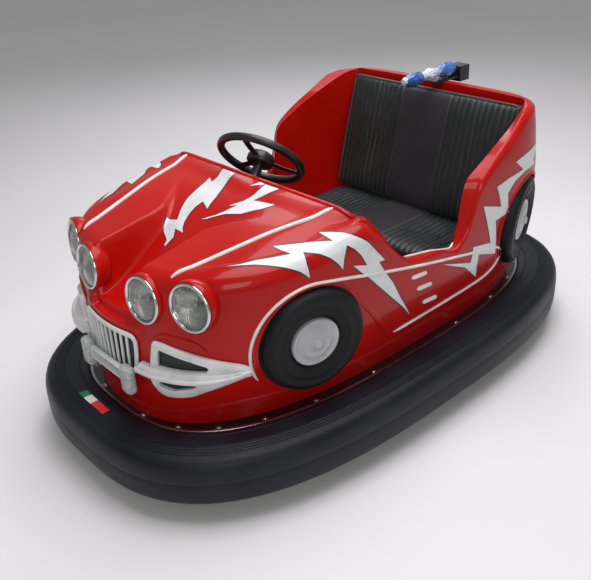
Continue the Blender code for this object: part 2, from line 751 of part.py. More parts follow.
def steering():
    column = add_axis("steering_axis", facing(STEER_CENTRE, STEER_AXIS))
    dash(column)
    core_low, core_high = -0.020, 0.006
    shaft = rod_mesh("steering_column", COLUMN_RADIUS, -COLUMN_LONG, core_low - SEAT_GAP)
    add_piece("steering_column", shaft, BLACK, parent=column)
    rim_middle = STEER_RADIUS - STEER_RIM
    bpy.ops.mesh.primitive_torus_add(
        major_radius=rim_middle, minor_radius=STEER_RIM, major_segments=28, minor_segments=8
    )
    torus = bpy.context.object
    rim = smooth(torus.data)
    bpy.data.objects.remove(torus)
    rim.name = "steering_wheel"
    wheel_piece = add_piece("steering_wheel", rim, BLACK, parent=column)
    for number in range(3):
        spoke = box_mesh("spoke", (0.020, -SPOKE_HALF, -0.008), (rim_middle, SPOKE_HALF, 0.0))
        spread = Matrix.Rotation(math.radians(90 + 120 * number), 4, "Z")
        combine(wheel_piece, add_cutter(f"spoke_{number}", spoke, spread, column), "UNION")
    core = rod_mesh("steering_core", STEER_CORE, core_low, core_high, 18)
    combine(wheel_piece, add_cutter("steering_core", core, parent=column), "UNION")
    boss = [
        (0.0, core_high + SEAT_GAP),
        (STEER_CORE - 0.004, core_high + SEAT_GAP),
        (STEER_CORE - 0.006, core_high + 0.008),
        (STEER_CORE * 0.6, core_high + 0.017),
        (0.0, core_high + 0.021),
    ]
    turned("steering_boss", boss, 18, BLACK, parent=column)


# Seat and pedal

def seat():
    base_top = CUSHION_TOP - CUSHION_THICK
    half = SEAT_HALF - BASE_INSET
    low = (-half, SEAT_FRONT + 0.035, DECK_TOP + SEAT_GAP)
    add_piece("seat_base", box_mesh("seat_base", low, (half, SEAT_REAR + 0.010, base_top - SEAT_GAP)), BLACK)
    pad = box_mesh("seat_cushion", (-SEAT_HALF, SEAT_FRONT, base_top), (SEAT_HALF, SEAT_REAR, CUSHION_TOP))
    round_edges(add_piece("seat_cushion", pad, VINYL), 0.022)
    lean = Matrix.Rotation(math.radians(-BACK_LEAN), 4, "X")
    foot = Matrix.Translation((0.0, BACK_FOOT_Y, CUSHION_TOP + SEAT_GAP))
    # its lower rear edge, rounded off, comes down onto the cushion
    lift = 0.0078
    half = SEAT_HALF - 0.004
    back = box_mesh("seat_back", (-half, 0.0, lift), (half, BACK_THICK, lift + BACK_TALL))
    round_edges(add_piece("seat_back", back, VINYL, foot @ lean), 0.018)


def pedal():
    foot = Matrix.Translation((-0.080, -0.173 * ALONG, DECK_TOP + SEAT_GAP))
    slope = Matrix.Rotation(math.radians(-28), 4, "X")
    plate = box_mesh("accelerator_pedal", (-0.045, -0.130, 0.0), (0.045, 0.0, 0.010))
    add_piece("accelerator_pedal", plate, RUBBER, foot @ slope)


# Nose trim

def grille():
    """A frame and slats in front of the snout, bowed as the snout is and narrower at the foot."""
    made = bmesh.new()
    size = Matrix.Diagonal((2 * GRILLE_HALF, GRILLE_THICK, GRILLE_HIGH - GRILLE_LOW, 1.0))
    bmesh.ops.create_cube(made, size=1.0, matrix=size)
    lengthwise = [edge for edge in made.edges if abs(edge.verts[0].co.x - edge.verts[1].co.x) > GRILLE_HALF]
    bmesh.ops.subdivide_edges(made, edges=lengthwise, cuts=17)
    for vert in made.verts:
        if vert.co.z < 0:
            vert.co.x *= 0.88
        vert.co.y += snout_face(vert.co.x) - SEAT_GAP - GRILLE_THICK / 2
        vert.co.z += (GRILLE_LOW + GRILLE_HIGH) / 2
    obj = add_piece("grille", mesh_from("grille", made), SILVER)
    pitch = (2 * GRILLE_HALF * 0.88 - 2 * GRILLE_FRAME + GRILLE_BAR) / GRILLE_SLOTS
    nose = snout_face(0.0)
    for number in range(GRILLE_SLOTS):
        x = pitch * (number - (GRILLE_SLOTS - 1) / 2)
        half = (pitch - GRILLE_BAR) / 2
        slot = box_mesh(
            "grille_slot",
            (x - half, nose - 0.03, GRILLE_LOW + 0.012), (x + half, nose + 0.06, GRILLE_HIGH - GRILLE_FRAME),
        )
        combine(obj, add_cutter(f"grille_slot_{number}", slot), "DIFFERENCE")


def front_bumper():
    """The middle plate across the grille's foot, with an upright overrider at each end."""
    back = snout_face(0.0) - 2 * SEAT_GAP - GRILLE_THICK
    plate = box_mesh(
        "centre_bumper",
        (-PLATE_HALF, back - PLATE_THICK, PLATE_LOW), (PLATE_HALF, back, PLATE_LOW + PLATE_TALL),
    )
    round_edges(add_piece("centre_bumper", plate, SILVER), 0.005)
    back = snout_face(PLATE_HALF) - 2 * SEAT_GAP - GRILLE_THICK
    for side, hand in HANDS:
        inner = PLATE_HALF + SEAT_GAP
        low_x, high_x = sorted((side * inner, side * (inner + OVERRIDER_WIDE)))
        knuckle = box_mesh(
            "overrider",
            (low_x, back - OVERRIDER_THICK, OVERRIDER_LOW), (high_x, back, OVERRIDER_LOW + OVERRIDER_TALL),
        )
        round_edges(add_piece("overrider_" + hand, knuckle, SILVER), 0.012)


# Side bumpers

# Stations from the overrider to the tip: where on the widest level, as a share of the half width, the top and
# the foot of the wing, and how far the blade stands out from the body
WING_STATIONS = (
    (0.2460, BLADE_TOP, BLADE_TOP - BLADE_THICK, 0.038),
    (0.3100, BLADE_TOP, BLADE_TOP - BLADE_THICK, 0.041),
    (0.3200, 0.487, 0.356, 0.041),
    (0.3450, 0.487, 0.335, 0.042),
    (0.3683, 0.486, 0.322, 0.042),
    (0.4200, 0.480, 0.312, 0.042),
    (0.5000, 0.468, 0.320, 0.042),
    (0.5550, 0.455, 0.340, 0.040),
    (0.6167, 0.436, 0.364, 0.032),
    (0.6450, 0.424, 0.376, 0.024),
    (0.6650, BLADE_TOP + 0.004, BLADE_TOP - BLADE_THICK - 0.004, 0.015),
)
# The dark openings above and below the blade: (where, height) corners
UPPER_OPENING = ((0.352, 0.414), (0.352, 0.468), (0.560, 0.430), (0.560, 0.414))
LOWER_OPENING = ((0.355, 0.364), (0.355, 0.380), (0.530, 0.380), (0.530, 0.372))


def wing_section(share, top, foot, out):
    """The wing's closed outline at one station, standing on the body's outside."""
    angle = rib_angle("nose", share)
    blade_low = BLADE_TOP - BLADE_THICK
    outline = (
        (WING_GAP, foot),
        (WING_THICK, foot),
        (WING_THICK, min(blade_low, foot + 0.010) if foot < blade_low - 0.002 else foot),
        (WING_THICK, blade_low),
        (out, blade_low + 0.004),
        (out, BLADE_TOP - 0.002),
        (WING_THICK, BLADE_TOP),
        (WING_THICK, top),
    )
    inner = [(WING_GAP, top + (foot - top) * t) for t in (0.0, 0.25, 0.5, 0.75)]
    return [on_skin(angle, z, -away) for away, z in (*outline, *inner)]


def opening_cutter(name, corners, side):
    """A prism through the wing, square to the body at the opening."""
    middle = sum(share for share, _ in corners) / len(corners)
    here = on_skin(rib_angle("nose", middle), BLADE_TOP)
    away = on_skin(rib_angle("nose", middle), BLADE_TOP, -0.1) - here
    away /= np.linalg.norm(away)
    flat = [on_skin(rib_angle("nose", share), z) for share, z in corners]
    rows = [[tuple((p + away * reach) * (side, 1, 1)) for p in flat] for reach in (-0.05, 0.10)]
    made = bmesh.new()
    made.from_mesh(loft_mesh(name, rows, False, capped=True))
    bmesh.ops.recalc_face_normals(made, faces=made.faces)
    return add_cutter(name, mesh_from(name, made))


def side_bumpers():
    for side, hand in HANDS:
        rows = [[tuple(p * (side, 1, 1)) for p in wing_section(*row)] for row in WING_STATIONS]
        made = bmesh.new()
        made.from_mesh(loft_mesh("side_bumper", rows, False, capped=True))
        bmesh.ops.remove_doubles(made, verts=made.verts, dist=0.00001)
        bmesh.ops.recalc_face_normals(made, faces=made.faces)
        obj = add_piece("side_bumper_" + hand, mesh_from("side_bumper_" + hand, made), SILVER)
        combine(obj, opening_cutter("wing_upper_" + hand, UPPER_OPENING, side), "DIFFERENCE")
        combine(obj, opening_cutter("wing_lower_" + hand, LOWER_OPENING, side), "DIFFERENCE")


# Socket of the contact pole, on the rim behind the seat, and the film wrapped over its clamps

def pole_socket():
    strap_low = RIM_BACK_Z + SEAT_GAP
    strap_high = strap_low + STRAP_THICK
    block = box_mesh(
        "pole_socket", (-SOCKET_HALF, SOCKET_FRONT, SOCKET_LOW), (SOCKET_HALF, SOCKET_REAR, SOCKET_HIGH)
    )
    socket = add_piece("pole_socket", block, BLACK)
    strap = box_mesh("strap", (-0.020, STRAP_FRONT, strap_low), (0.020, SOCKET_REAR - 0.004, strap_high))
    combine(socket, add_cutter("pole_strap", strap), "UNION")
    run = SOCKET_FRONT - 0.005 - WRAP_FRONT
    # share of the run and of the radius at each waist and lump of the film
    lumps = (
        (0.00, 0.0), (0.00, 0.35), (0.08, 0.55), (0.16, 0.95), (0.30, 1.0), (0.38, 0.75),
        (0.46, 0.80), (0.56, 0.96), (0.66, 0.72), (0.74, 0.95), (0.90, 1.0), (1.00, 0.70), (1.00, 0.0),
    )
    profile = [(WRAP_RADIUS * size, run * place) for place, size in lumps]
    start = facing((0.0, WRAP_FRONT, strap_high + SEAT_GAP + WRAP_RADIUS), (0, 1, 0))
    turned("pole_wrap", profile, 12, FILM, start)


clear_scene()
car = collection("Bumper car", True)
cutters = collection("Cutters", False)
shell = body_shell()
wheels_and_lamps(shell)
deck(bumper())
drive_unit()
chassis()
steering()
seat()
pedal()
grille()
front_bumper()
side_bumpers()
pole_socket()
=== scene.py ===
import math

import bmesh
import bpy
import numpy as np
from mathutils import Matrix, Vector, noise
from mathutils.bvhtree import BVHTree


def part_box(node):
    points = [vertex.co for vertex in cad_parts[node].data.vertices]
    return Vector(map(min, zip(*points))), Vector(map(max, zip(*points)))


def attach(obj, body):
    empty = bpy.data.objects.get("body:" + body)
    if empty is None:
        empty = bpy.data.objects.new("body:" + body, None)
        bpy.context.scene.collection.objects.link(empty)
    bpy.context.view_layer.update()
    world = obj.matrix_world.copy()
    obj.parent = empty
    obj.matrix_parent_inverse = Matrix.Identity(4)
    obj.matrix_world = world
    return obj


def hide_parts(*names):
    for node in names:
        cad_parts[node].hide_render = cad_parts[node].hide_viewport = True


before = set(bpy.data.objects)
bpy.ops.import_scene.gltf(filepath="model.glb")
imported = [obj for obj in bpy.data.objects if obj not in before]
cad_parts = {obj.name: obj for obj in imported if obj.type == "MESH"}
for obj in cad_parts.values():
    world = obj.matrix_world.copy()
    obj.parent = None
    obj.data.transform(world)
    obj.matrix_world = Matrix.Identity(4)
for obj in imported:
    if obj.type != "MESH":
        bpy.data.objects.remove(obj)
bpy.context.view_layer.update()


# Chassis: two steel rails under the deck, with brackets that hold the rear axle.
# The steel is cut, drilled and welded, then brushed with grey machine paint that
# scuffs on its edges. Hexagon bolts hold the brackets to the rails.

def surface_marks():
    """Shared node group: broad mottling, fine grain and long thin scratches in object space."""
    group = bpy.data.node_groups.new("Surface marks", "ShaderNodeTree")
    for label, value in (("Mottle scale", 6.0), ("Grain scale", 300.0), ("Scratch scale", 30.0)):
        made = group.interface.new_socket(label, in_out="INPUT", socket_type="NodeSocketFloat")
        made.default_value = value
    for label in ("Mottle", "Grain", "Scratch"):
        group.interface.new_socket(label, in_out="OUTPUT", socket_type="NodeSocketFloat")
    nodes, links = group.nodes, group.links
    start, end = nodes.new("NodeGroupInput"), nodes.new("NodeGroupOutput")
    place = nodes.new("ShaderNodeTexCoord")
    drawn_out = nodes.new("ShaderNodeMapping")
    drawn_out.inputs["Rotation"].default_value = (0.3, 0.5, 0.9)
    drawn_out.inputs["Scale"].default_value = (1.0, 9.0, 9.0)
    links.new(place.outputs["Object"], drawn_out.inputs["Vector"])
    sources = {"Mottle": place.outputs["Object"], "Grain": place.outputs["Object"],
               "Scratch": drawn_out.outputs[0]}
    for label, detail in (("Mottle", 4.0), ("Grain", 2.0), ("Scratch", 3.0)):
        cloud = nodes.new("ShaderNodeTexNoise")
        cloud.inputs["Detail"].default_value = detail
        links.new(sources[label], cloud.inputs["Vector"])
        links.new(start.outputs[label + " scale"], cloud.inputs["Scale"])
        spread = nodes.new("ShaderNodeMapRange")
        low, high = (0.60, 0.72) if label == "Scratch" else (0.32, 0.68)
        spread.inputs["From Min"].default_value = low
        spread.inputs["From Max"].default_value = high
        links.new(cloud.outputs["Fac"], spread.inputs["Value"])
        links.new(spread.outputs["Result"], end.inputs[label])
    return group


SURFACE_MARKS = surface_marks()


def finish(name, dark, light, rough, mottle=6.0, grain=300.0, relief=0.0001, scratches=0.08, **sockets):
    """A finish that wanders between two colours and two roughnesses, with a fine relief."""
    look = bpy.data.materials.new(name)
    look.use_nodes = True
    nodes, links = look.node_tree.nodes, look.node_tree.links
    shader = nodes["Principled BSDF"]
    marks = nodes.new("ShaderNodeGroup")
    marks.node_tree = SURFACE_MARKS
    marks.inputs["Mottle scale"].default_value = mottle
    marks.inputs["Grain scale"].default_value = grain
    tint = nodes.new("ShaderNodeMix")
    tint.data_type = "RGBA"
    for label, colour in (("A", dark), ("B", light)):
        end = next(socket for socket in tint.inputs if socket.type == "RGBA" and socket.name == label)
        end.default_value = (*colour, 1.0)
    links.new(marks.outputs["Mottle"], tint.inputs["Factor"])
    result = next(socket for socket in tint.outputs if socket.type == "RGBA")
    links.new(result, shader.inputs["Base Color"])
    scuffed = nodes.new("ShaderNodeMath")
    scuffed.operation = "MULTIPLY_ADD"
    scuffed.inputs[1].default_value = rough[1] - rough[0]
    scuffed.inputs[2].default_value = rough[0]
    links.new(marks.outputs["Mottle"], scuffed.inputs[0])
    worn = nodes.new("ShaderNodeMath")
    worn.operation = "MULTIPLY_ADD"
    worn.inputs[1].default_value = scratches
    links.new(marks.outputs["Scratch"], worn.inputs[0])
    links.new(scuffed.outputs[0], worn.inputs[2])
    links.new(worn.outputs[0], shader.inputs["Roughness"])
    bump = nodes.new("ShaderNodeBump")
    bump.inputs["Distance"].default_value = relief
    links.new(marks.outputs["Grain"], bump.inputs["Height"])
    links.new(bump.outputs["Normal"], shader.inputs["Normal"])
    for label, value in sockets.items():
        shader.inputs[label.replace("_", " ").title().replace("Ior", "IOR")].default_value = value
    return look


def show(look, *names):
    """CAD solids that stay get their real finish."""
    for name in names:
        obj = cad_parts[name]
        if not obj.material_slots:
            obj.data.materials.append(look)
        for place in obj.material_slots:
            place.material = look


def absorb(made, fresh):
    """Adds one mesh under construction to another."""
    carried = bpy.data.meshes.new("carried")
    fresh.to_mesh(carried)
    fresh.free()
    made.from_mesh(carried)
    bpy.data.meshes.remove(carried)


def piece(name, made, *looks, body="chassis", slot=None, replaces=(), sharp=35.0):
    """A finished piece: smooth but for its edges, riding on its body."""
    mesh = bpy.data.meshes.new(name)
    made.to_mesh(mesh)
    made.free()
    mesh.shade_smooth()
    mesh.set_sharp_from_angle(angle=math.radians(sharp))
    for look in looks:
        mesh.materials.append(look)
    obj = bpy.data.objects.new(name, mesh)
    bpy.context.scene.collection.objects.link(obj)
    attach(obj, body)
    if replaces:
        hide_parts(*replaces)
    return obj


def facing(centre, direction):
    """The placement whose Z looks along the direction."""
    return Matrix.Translation(centre) @ Vector(direction).to_track_quat("Z", "Y").to_matrix().to_4x4()


def hexagon_bolt(made, spot, direction, size=0.008):
    """A washer and a six-sided head with its corners taken off."""
    fresh = bmesh.new()
    washer = Matrix.Translation((0.0, 0.0, size * 0.12))
    bmesh.ops.create_cone(fresh, cap_ends=True, segments=20, radius1=size * 1.25, radius2=size * 1.2,
                          depth=size * 0.24, matrix=washer)
    head = Matrix.Translation((0.0, 0.0, size * 0.55))
    bmesh.ops.create_cone(fresh, cap_ends=True, segments=6, radius1=size, radius2=size * 0.9,
                          depth=size * 0.65, matrix=head)
    bmesh.ops.transform(fresh, matrix=facing(spot, direction), verts=fresh.verts)
    absorb(made, fresh)


machine_grey = finish("Grey machine paint", (0.10, 0.10, 0.11), (0.17, 0.17, 0.18), (0.38, 0.60), grain=220.0)
bright_steel = finish("Turned steel", (0.36, 0.36, 0.37), (0.52, 0.52, 0.53), (0.22, 0.38), grain=500.0,
                      metallic=1.0)
show(machine_grey, "chassis_rail_left", "chassis_rail_right", "axle_bracket_left", "axle_bracket_right")
show(bright_steel, "rear_axle")

BRACKET_BOLT, RAIL_BOLT = 0.006, 0.007
BRACKET_EDGE, BRACKET_LOWER_ROW = 0.012, 0.030
RAIL_END, RAIL_BOLTS = 0.05, 5
SIDES = ((1, "left"), (-1, "right"))
bolts = bmesh.new()
for side, hand in SIDES:
    low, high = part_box("axle_bracket_" + hand)
    outer = high.x if side > 0 else low.x
    for y in (low.y + BRACKET_EDGE, high.y - BRACKET_EDGE):
        for z in (high.z - BRACKET_EDGE, high.z - BRACKET_LOWER_ROW):
            hexagon_bolt(bolts, (outer, y, z), (side, 0, 0), BRACKET_BOLT)
    low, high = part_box("chassis_rail_" + hand)
    for y in np.linspace(low.y + RAIL_END, high.y - RAIL_END, RAIL_BOLTS):
        hexagon_bolt(bolts, ((low.x + high.x) / 2, y, low.z), (0, 0, -1), RAIL_BOLT)
piece("chassis_bolts", bolts, bright_steel, slot="steel")


# Wheels on the floor: solid rubber tyres moulded on turned steel hubs.
# The drive wheel turns in its fork, the rear pair free on the axle. Each tyre has
# three shallow grooves round its tread, and its hub a web with bolt heads on both faces.

def spun(made, outline, steps, where=Matrix(), closed=False):
    """Turns a (radius, height) outline about the placement's Z."""
    fresh = bmesh.new()
    points = [fresh.verts.new((radius, 0.0, height)) for radius, height in outline]
    line = [fresh.edges.new(pair) for pair in zip(points, points[1:])]
    if closed:
        line.append(fresh.edges.new((points[-1], points[0])))
    bmesh.ops.spin(fresh, geom=points + line, cent=(0, 0, 0), axis=(0, 0, 1), dvec=(0, 0, 0),
                   angle=2 * math.pi, steps=steps, use_merge=True)
    bmesh.ops.remove_doubles(fresh, verts=fresh.verts, dist=0.000001)
    bmesh.ops.recalc_face_normals(fresh, faces=fresh.faces)
    bmesh.ops.transform(fresh, matrix=where, verts=fresh.verts)
    absorb(made, fresh)


def turned_piece(name, outline, steps, where, *looks, closed=False, **facts):
    """A finished piece made of one outline turned about the placement's Z."""
    made = bmesh.new()
    spun(made, outline, steps, where, closed)
    piece(name, made, *looks, **facts)


floor_rubber = finish("Floor tyre rubber", (0.012, 0.012, 0.013), (0.030, 0.029, 0.028), (0.62, 0.80),
                      grain=400.0, relief=0.0003)
TREAD_ROUND = 0.006
GROOVE_DEEP = GROOVE_HALF = 0.003
GROOVE_FOOT = 0.0015
AXLE_BORE, HUB_BOSS = 0.0094, 0.0215
HUB_WEB_HALF, HUB_RIM, HUB_LIP = 0.006, 0.012, 0.004
HUB_BOLTS, HUB_BOLT = 5, 0.0045

for name in ("drive_wheel", "rear_wheel_left", "rear_wheel_right"):
    low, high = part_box(name + "_tyre")
    centre = (low + high) / 2
    radius, half = (high.z - low.z) / 2, (high.x - low.x) / 2
    seat = (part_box(name + "_hub")[1].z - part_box(name + "_hub")[0].z) / 2
    outline = [(seat + 0.0004, 0.003 - half), (seat + TREAD_ROUND, -half),
               (radius - TREAD_ROUND, -half), (radius, TREAD_ROUND - half)]
    for groove in (-0.5, 0.0, 0.5):
        at = groove * half
        outline += [(radius, at - GROOVE_HALF), (radius - GROOVE_DEEP, at - GROOVE_FOOT),
                    (radius - GROOVE_DEEP, at + GROOVE_FOOT), (radius, at + GROOVE_HALF)]
    outline += [(radius, half - TREAD_ROUND), (radius - TREAD_ROUND, half),
                (seat + TREAD_ROUND, half), (seat + 0.0004, half - 0.003)]
    across = facing(centre, (1, 0, 0))
    turned_piece(name + "_tread", outline, 64, across, floor_rubber, closed=True, body=name, slot="rubber",
                 replaces=[name + "_tyre"])
    hub = bmesh.new()
    web, rim = seat - HUB_RIM, half - HUB_LIP
    outline = [(AXLE_BORE, -half), (HUB_BOSS, -half), (HUB_BOSS + 0.001, -HUB_WEB_HALF), (web, -HUB_WEB_HALF),
               (web, -rim), (seat, -rim), (seat, rim), (web, rim), (web, HUB_WEB_HALF),
               (HUB_BOSS + 0.001, HUB_WEB_HALF), (HUB_BOSS, half), (AXLE_BORE, half)]
    spun(hub, outline, 48, across, closed=True)
    circle = (HUB_BOSS + web) / 2
    for turn in range(HUB_BOLTS):
        angle = turn * 2 * math.pi / HUB_BOLTS
        for out in (1, -1):
            away = Vector((out * HUB_WEB_HALF, math.cos(angle) * circle, math.sin(angle) * circle))
            hexagon_bolt(hub, centre + away, (out, 0, 0), HUB_BOLT)
    piece(name + "_centre", hub, bright_steel, body=name, slot="steel", replaces=[name + "_hub"])


# Drive unit: a turntable on the deck that carries the fork, the wheel and the motor.
# Steel plates welded up and painted, with a cast motor housing; all of it is closed
# inside the nose, and only its foot shows from below.

motor_enamel = finish("Motor enamel", (0.03, 0.05, 0.09), (0.05, 0.08, 0.13), (0.30, 0.45), grain=160.0)
show(machine_grey, "drive_turntable", "drive_fork")
show(bright_steel, "drive_axle")
show(motor_enamel, "drive_motor")


# Deck: a flat steel plate, painted gloss black, with a hole for the drive unit.
# It is bolted to the hoop that holds the rubber bumper, by domed bolts all round
# just outside the body.

HALF_WIDE, HALF_LONG = 0.600, 0.983
RING_POWER = 2.89
RING_STEPS = 240
# how far the hoop's outer and inner faces are in from the car's outline
HOOP_OUTER, HOOP_INNER = 0.1364, 0.1444
DECK_LOW, DECK_TOP = 0.200, 0.206
PIVOT_Y = -0.5003
DECK_HOLE = 0.125


def outline_point(inset, angle):
    """A point of the car's rounded outline, moved in by the inset."""
    c, s = math.cos(angle), math.sin(angle)
    x = (HALF_WIDE - inset) * math.copysign(abs(c) ** (2 / RING_POWER), c)
    y = (HALF_LONG - inset) * math.copysign(abs(s) ** (2 / RING_POWER), s)
    return Vector((x, y, 0.0))


def lofted(made, rows, round_rows=False, loop=False, capped=False):
    """A skin through rows of points: the first row is extruded from each row to the next."""
    fresh = bmesh.new()
    ring = [fresh.verts.new(point) for point in rows[0]]
    pairs = list(zip(ring, ring[1:]))
    if round_rows:
        pairs.append((ring[-1], ring[0]))
    edges = [fresh.edges.new(pair) for pair in pairs]
    if capped:
        fresh.faces.new(ring)
    order = {vert: i for i, vert in enumerate(ring)}
    following = list(rows[1:]) + ([rows[0]] if loop else [])
    for row in following:
        drawn = bmesh.ops.extrude_edge_only(fresh, edges=edges)["geom"]
        after = {}
        for vert in drawn:
            if isinstance(vert, bmesh.types.BMVert) and vert not in order:
                ends = [edge.other_vert(vert) for edge in vert.link_edges]
                after[vert] = next(order[end] for end in ends if end in order)
        for vert, i in after.items():
            vert.co = row[i]
        # a dict keeps the edges in the same order in every run, as a set doesn't
        edges = list(dict.fromkeys(edge for vert in after for edge in vert.link_edges
                                   if edge.other_vert(vert) in after))
        order = after
    if capped:
        fresh.faces.new(sorted(order, key=order.get))
    bmesh.ops.remove_doubles(fresh, verts=fresh.verts, dist=0.000001)
    bmesh.ops.recalc_face_normals(fresh, faces=fresh.faces)
    absorb(made, fresh)


def skin_piece(name, rows, *looks, round_rows=False, loop=False, **facts):
    """A finished piece made of one skin through rows of points."""
    made = bmesh.new()
    lofted(made, rows, round_rows, loop)
    piece(name, made, *looks, **facts)


gloss_black = finish("Gloss black enamel", (0.006, 0.006, 0.007), (0.013, 0.013, 0.014), (0.10, 0.22),
                     mottle=9.0, grain=120.0, relief=0.0003, scratches=0.15, coat_weight=0.4)

angles = [2 * math.pi * i / RING_STEPS for i in range(RING_STEPS)]
edge_line = [outline_point(HOOP_INNER, angle) for angle in angles]
hole_line = []
for point in edge_line:
    away = Vector((point.x, point.y - PIVOT_Y, 0.0)).normalized() * DECK_HOLE
    hole_line.append(Vector((away.x, PIVOT_Y + away.y, 0.0)))
levels = ((edge_line, DECK_LOW), (edge_line, DECK_TOP), (hole_line, DECK_TOP), (hole_line, DECK_LOW))
rows = [[point + Vector((0, 0, z)) for point in line] for line, z in levels]
skin_piece("deck_plate", rows, gloss_black, round_rows=True, loop=True, slot="black", replaces=["deck"])


def round_bolt(made, spot, direction, size=0.007):
    """A domed head on a washer."""
    fresh = bmesh.new()
    outline = [(0, 0), (size * 1.5, 0), (size * 1.5, size * 0.2), (size, size * 0.25),
               (size * 0.95, size * 0.5), (size * 0.7, size * 0.75), (size * 0.35, size * 0.88),
               (0, size * 0.9)]
    spun(fresh, outline, 20, facing(spot, direction))
    absorb(made, fresh)


DECK_BOLTS, DECK_BOLT = 24, 0.0072
BOLT_INSET = HOOP_INNER + 0.0125
bolts = bmesh.new()
for number in range(DECK_BOLTS):
    spot = outline_point(BOLT_INSET, 2 * math.pi * (number + 0.5) / DECK_BOLTS)
    round_bolt(bolts, spot + Vector((0, 0, DECK_TOP)), (0, 0, 1), DECK_BOLT)
piece("deck_bolts", bolts, bright_steel, slot="steel")


# Bumper: a solid black rubber moulding all round the car, held by a steel hoop whose
# edge shows as a bright line. Fine grooves run round its top, and its outer side has a
# thin mould line. The rubber is matt and scuffed where cars meet.

def ring(name, section, *looks, **facts):
    """A ring all round the car, from a section of (inset, height) points."""
    rows = [[outline_point(inset, angle) + Vector((0, 0, z)) for angle in angles] for inset, z in section]
    skin_piece(name, rows, *looks, round_rows=True, loop=True, **facts)


bumper_rubber = finish("Bumper rubber", (0.0050, 0.0062, 0.0105), (0.012, 0.0145, 0.023), (0.36, 0.52),
                       mottle=5.0, grain=260.0, relief=0.0004, scratches=0.22, specular_ior_level=0.25)
GROOVES = (0.037, 0.046, 0.055, 0.064)
section = [(0.136, 0.075), (0.130, 0.075), (0.060, 0.075), (0.022, 0.075), (0.013, 0.0765), (0.006, 0.081),
           (0.002, 0.090), (0.0004, 0.104), (0.0, 0.125), (0.0, 0.146), (0.0014, 0.149), (0.0014, 0.151),
           (0.0, 0.154), (0.0, 0.164), (0.0008, 0.176), (0.003, 0.190), (0.007, 0.2015), (0.013, 0.2105),
           (0.021, 0.2165), (0.030, 0.2198)]
for groove in GROOVES:
    top = 0.2215 + 0.12 * (groove - GROOVES[0])
    section += [(groove - 0.0028, top), (groove - 0.0012, top - 0.0022), (groove + 0.0012, top - 0.0021),
                (groove + 0.0028, top + 0.0003)]
section += [(0.070, 0.2248), (0.084, 0.2250), (0.098, 0.2243), (0.106, 0.2232), (0.1075, 0.2205),
            (0.1100, 0.2202), (0.1115, 0.2222), (0.124, 0.2200), (0.131, 0.2172), (0.1348, 0.2130),
            (0.136, 0.208)]
ring("bumper_rubber", section, bumper_rubber, slot="rubber", replaces=["bumper_tyre"], sharp=50)
section = [(HOOP_INNER, 0.095), (HOOP_OUTER, 0.095), (HOOP_OUTER, 0.2130), (0.1372, 0.2142), (0.1436, 0.2142),
           (HOOP_INNER, 0.2130)]
ring("steel_hoop", section, bright_steel, slot="steel", replaces=["bumper_hoop"])

# Three patches of coloured plastic film are stuck on the bumper's top, in front.
PATCHES = (("green", (0.0, 0.16, 0.05)), ("white", (0.75, 0.75, 0.72)), ("red", (0.62, 0.02, 0.015)))
PATCH_SECTION = ((0.0685, 0.2252), (0.072, 0.22545), (0.084, 0.22565), (0.094, 0.2252))
PATCH_FIRST, PATCH_PITCH, PATCH_LONG = -1.668, 0.0405, 0.040
for number, (colour_name, colour) in enumerate(PATCHES):
    light = tuple(min(1.0, value * 1.25 + 0.01) for value in colour)
    look = finish("Patch film " + colour_name, colour, light, (0.30, 0.45), mottle=30.0, grain=300.0)
    first = PATCH_FIRST + number * PATCH_PITCH
    turns = np.linspace(first, first + PATCH_LONG, 8)
    rows = [[outline_point(inset, turn) + Vector((0, 0, z)) for turn in turns] for inset, z in PATCH_SECTION]
    skin_piece("patch_" + colour_name, rows, look)


# Body: one glass-fibre moulding, sprayed deep red and lacquered. Its nose carries the
# lamps and the grille, two ridges run along the hood with a hollow between them, and
# its rim is rolled over round the cockpit. Round wells hold the dummy wheels and lamps.

# height, half width, front and rear half length, front and rear power of the outline
LEVELS = (
    (0.206, 0.420, 0.822, 0.750, 2.65, 3.6), (0.330, 0.450, 0.818, 0.768, 2.90, 3.8),
    (0.430, 0.470, 0.812, 0.776, 3.10, 4.0), (0.530, 0.478, 0.800, 0.774, 3.20, 4.2),
    (0.620, 0.482, 0.786, 0.760, 3.20, 4.4), (0.720, 0.487, 0.770, 0.725, 3.20, 4.7),
    (0.865, 0.475, 0.760, 0.662, 3.20, 6.0),
)
WIDEST = LEVELS[3]
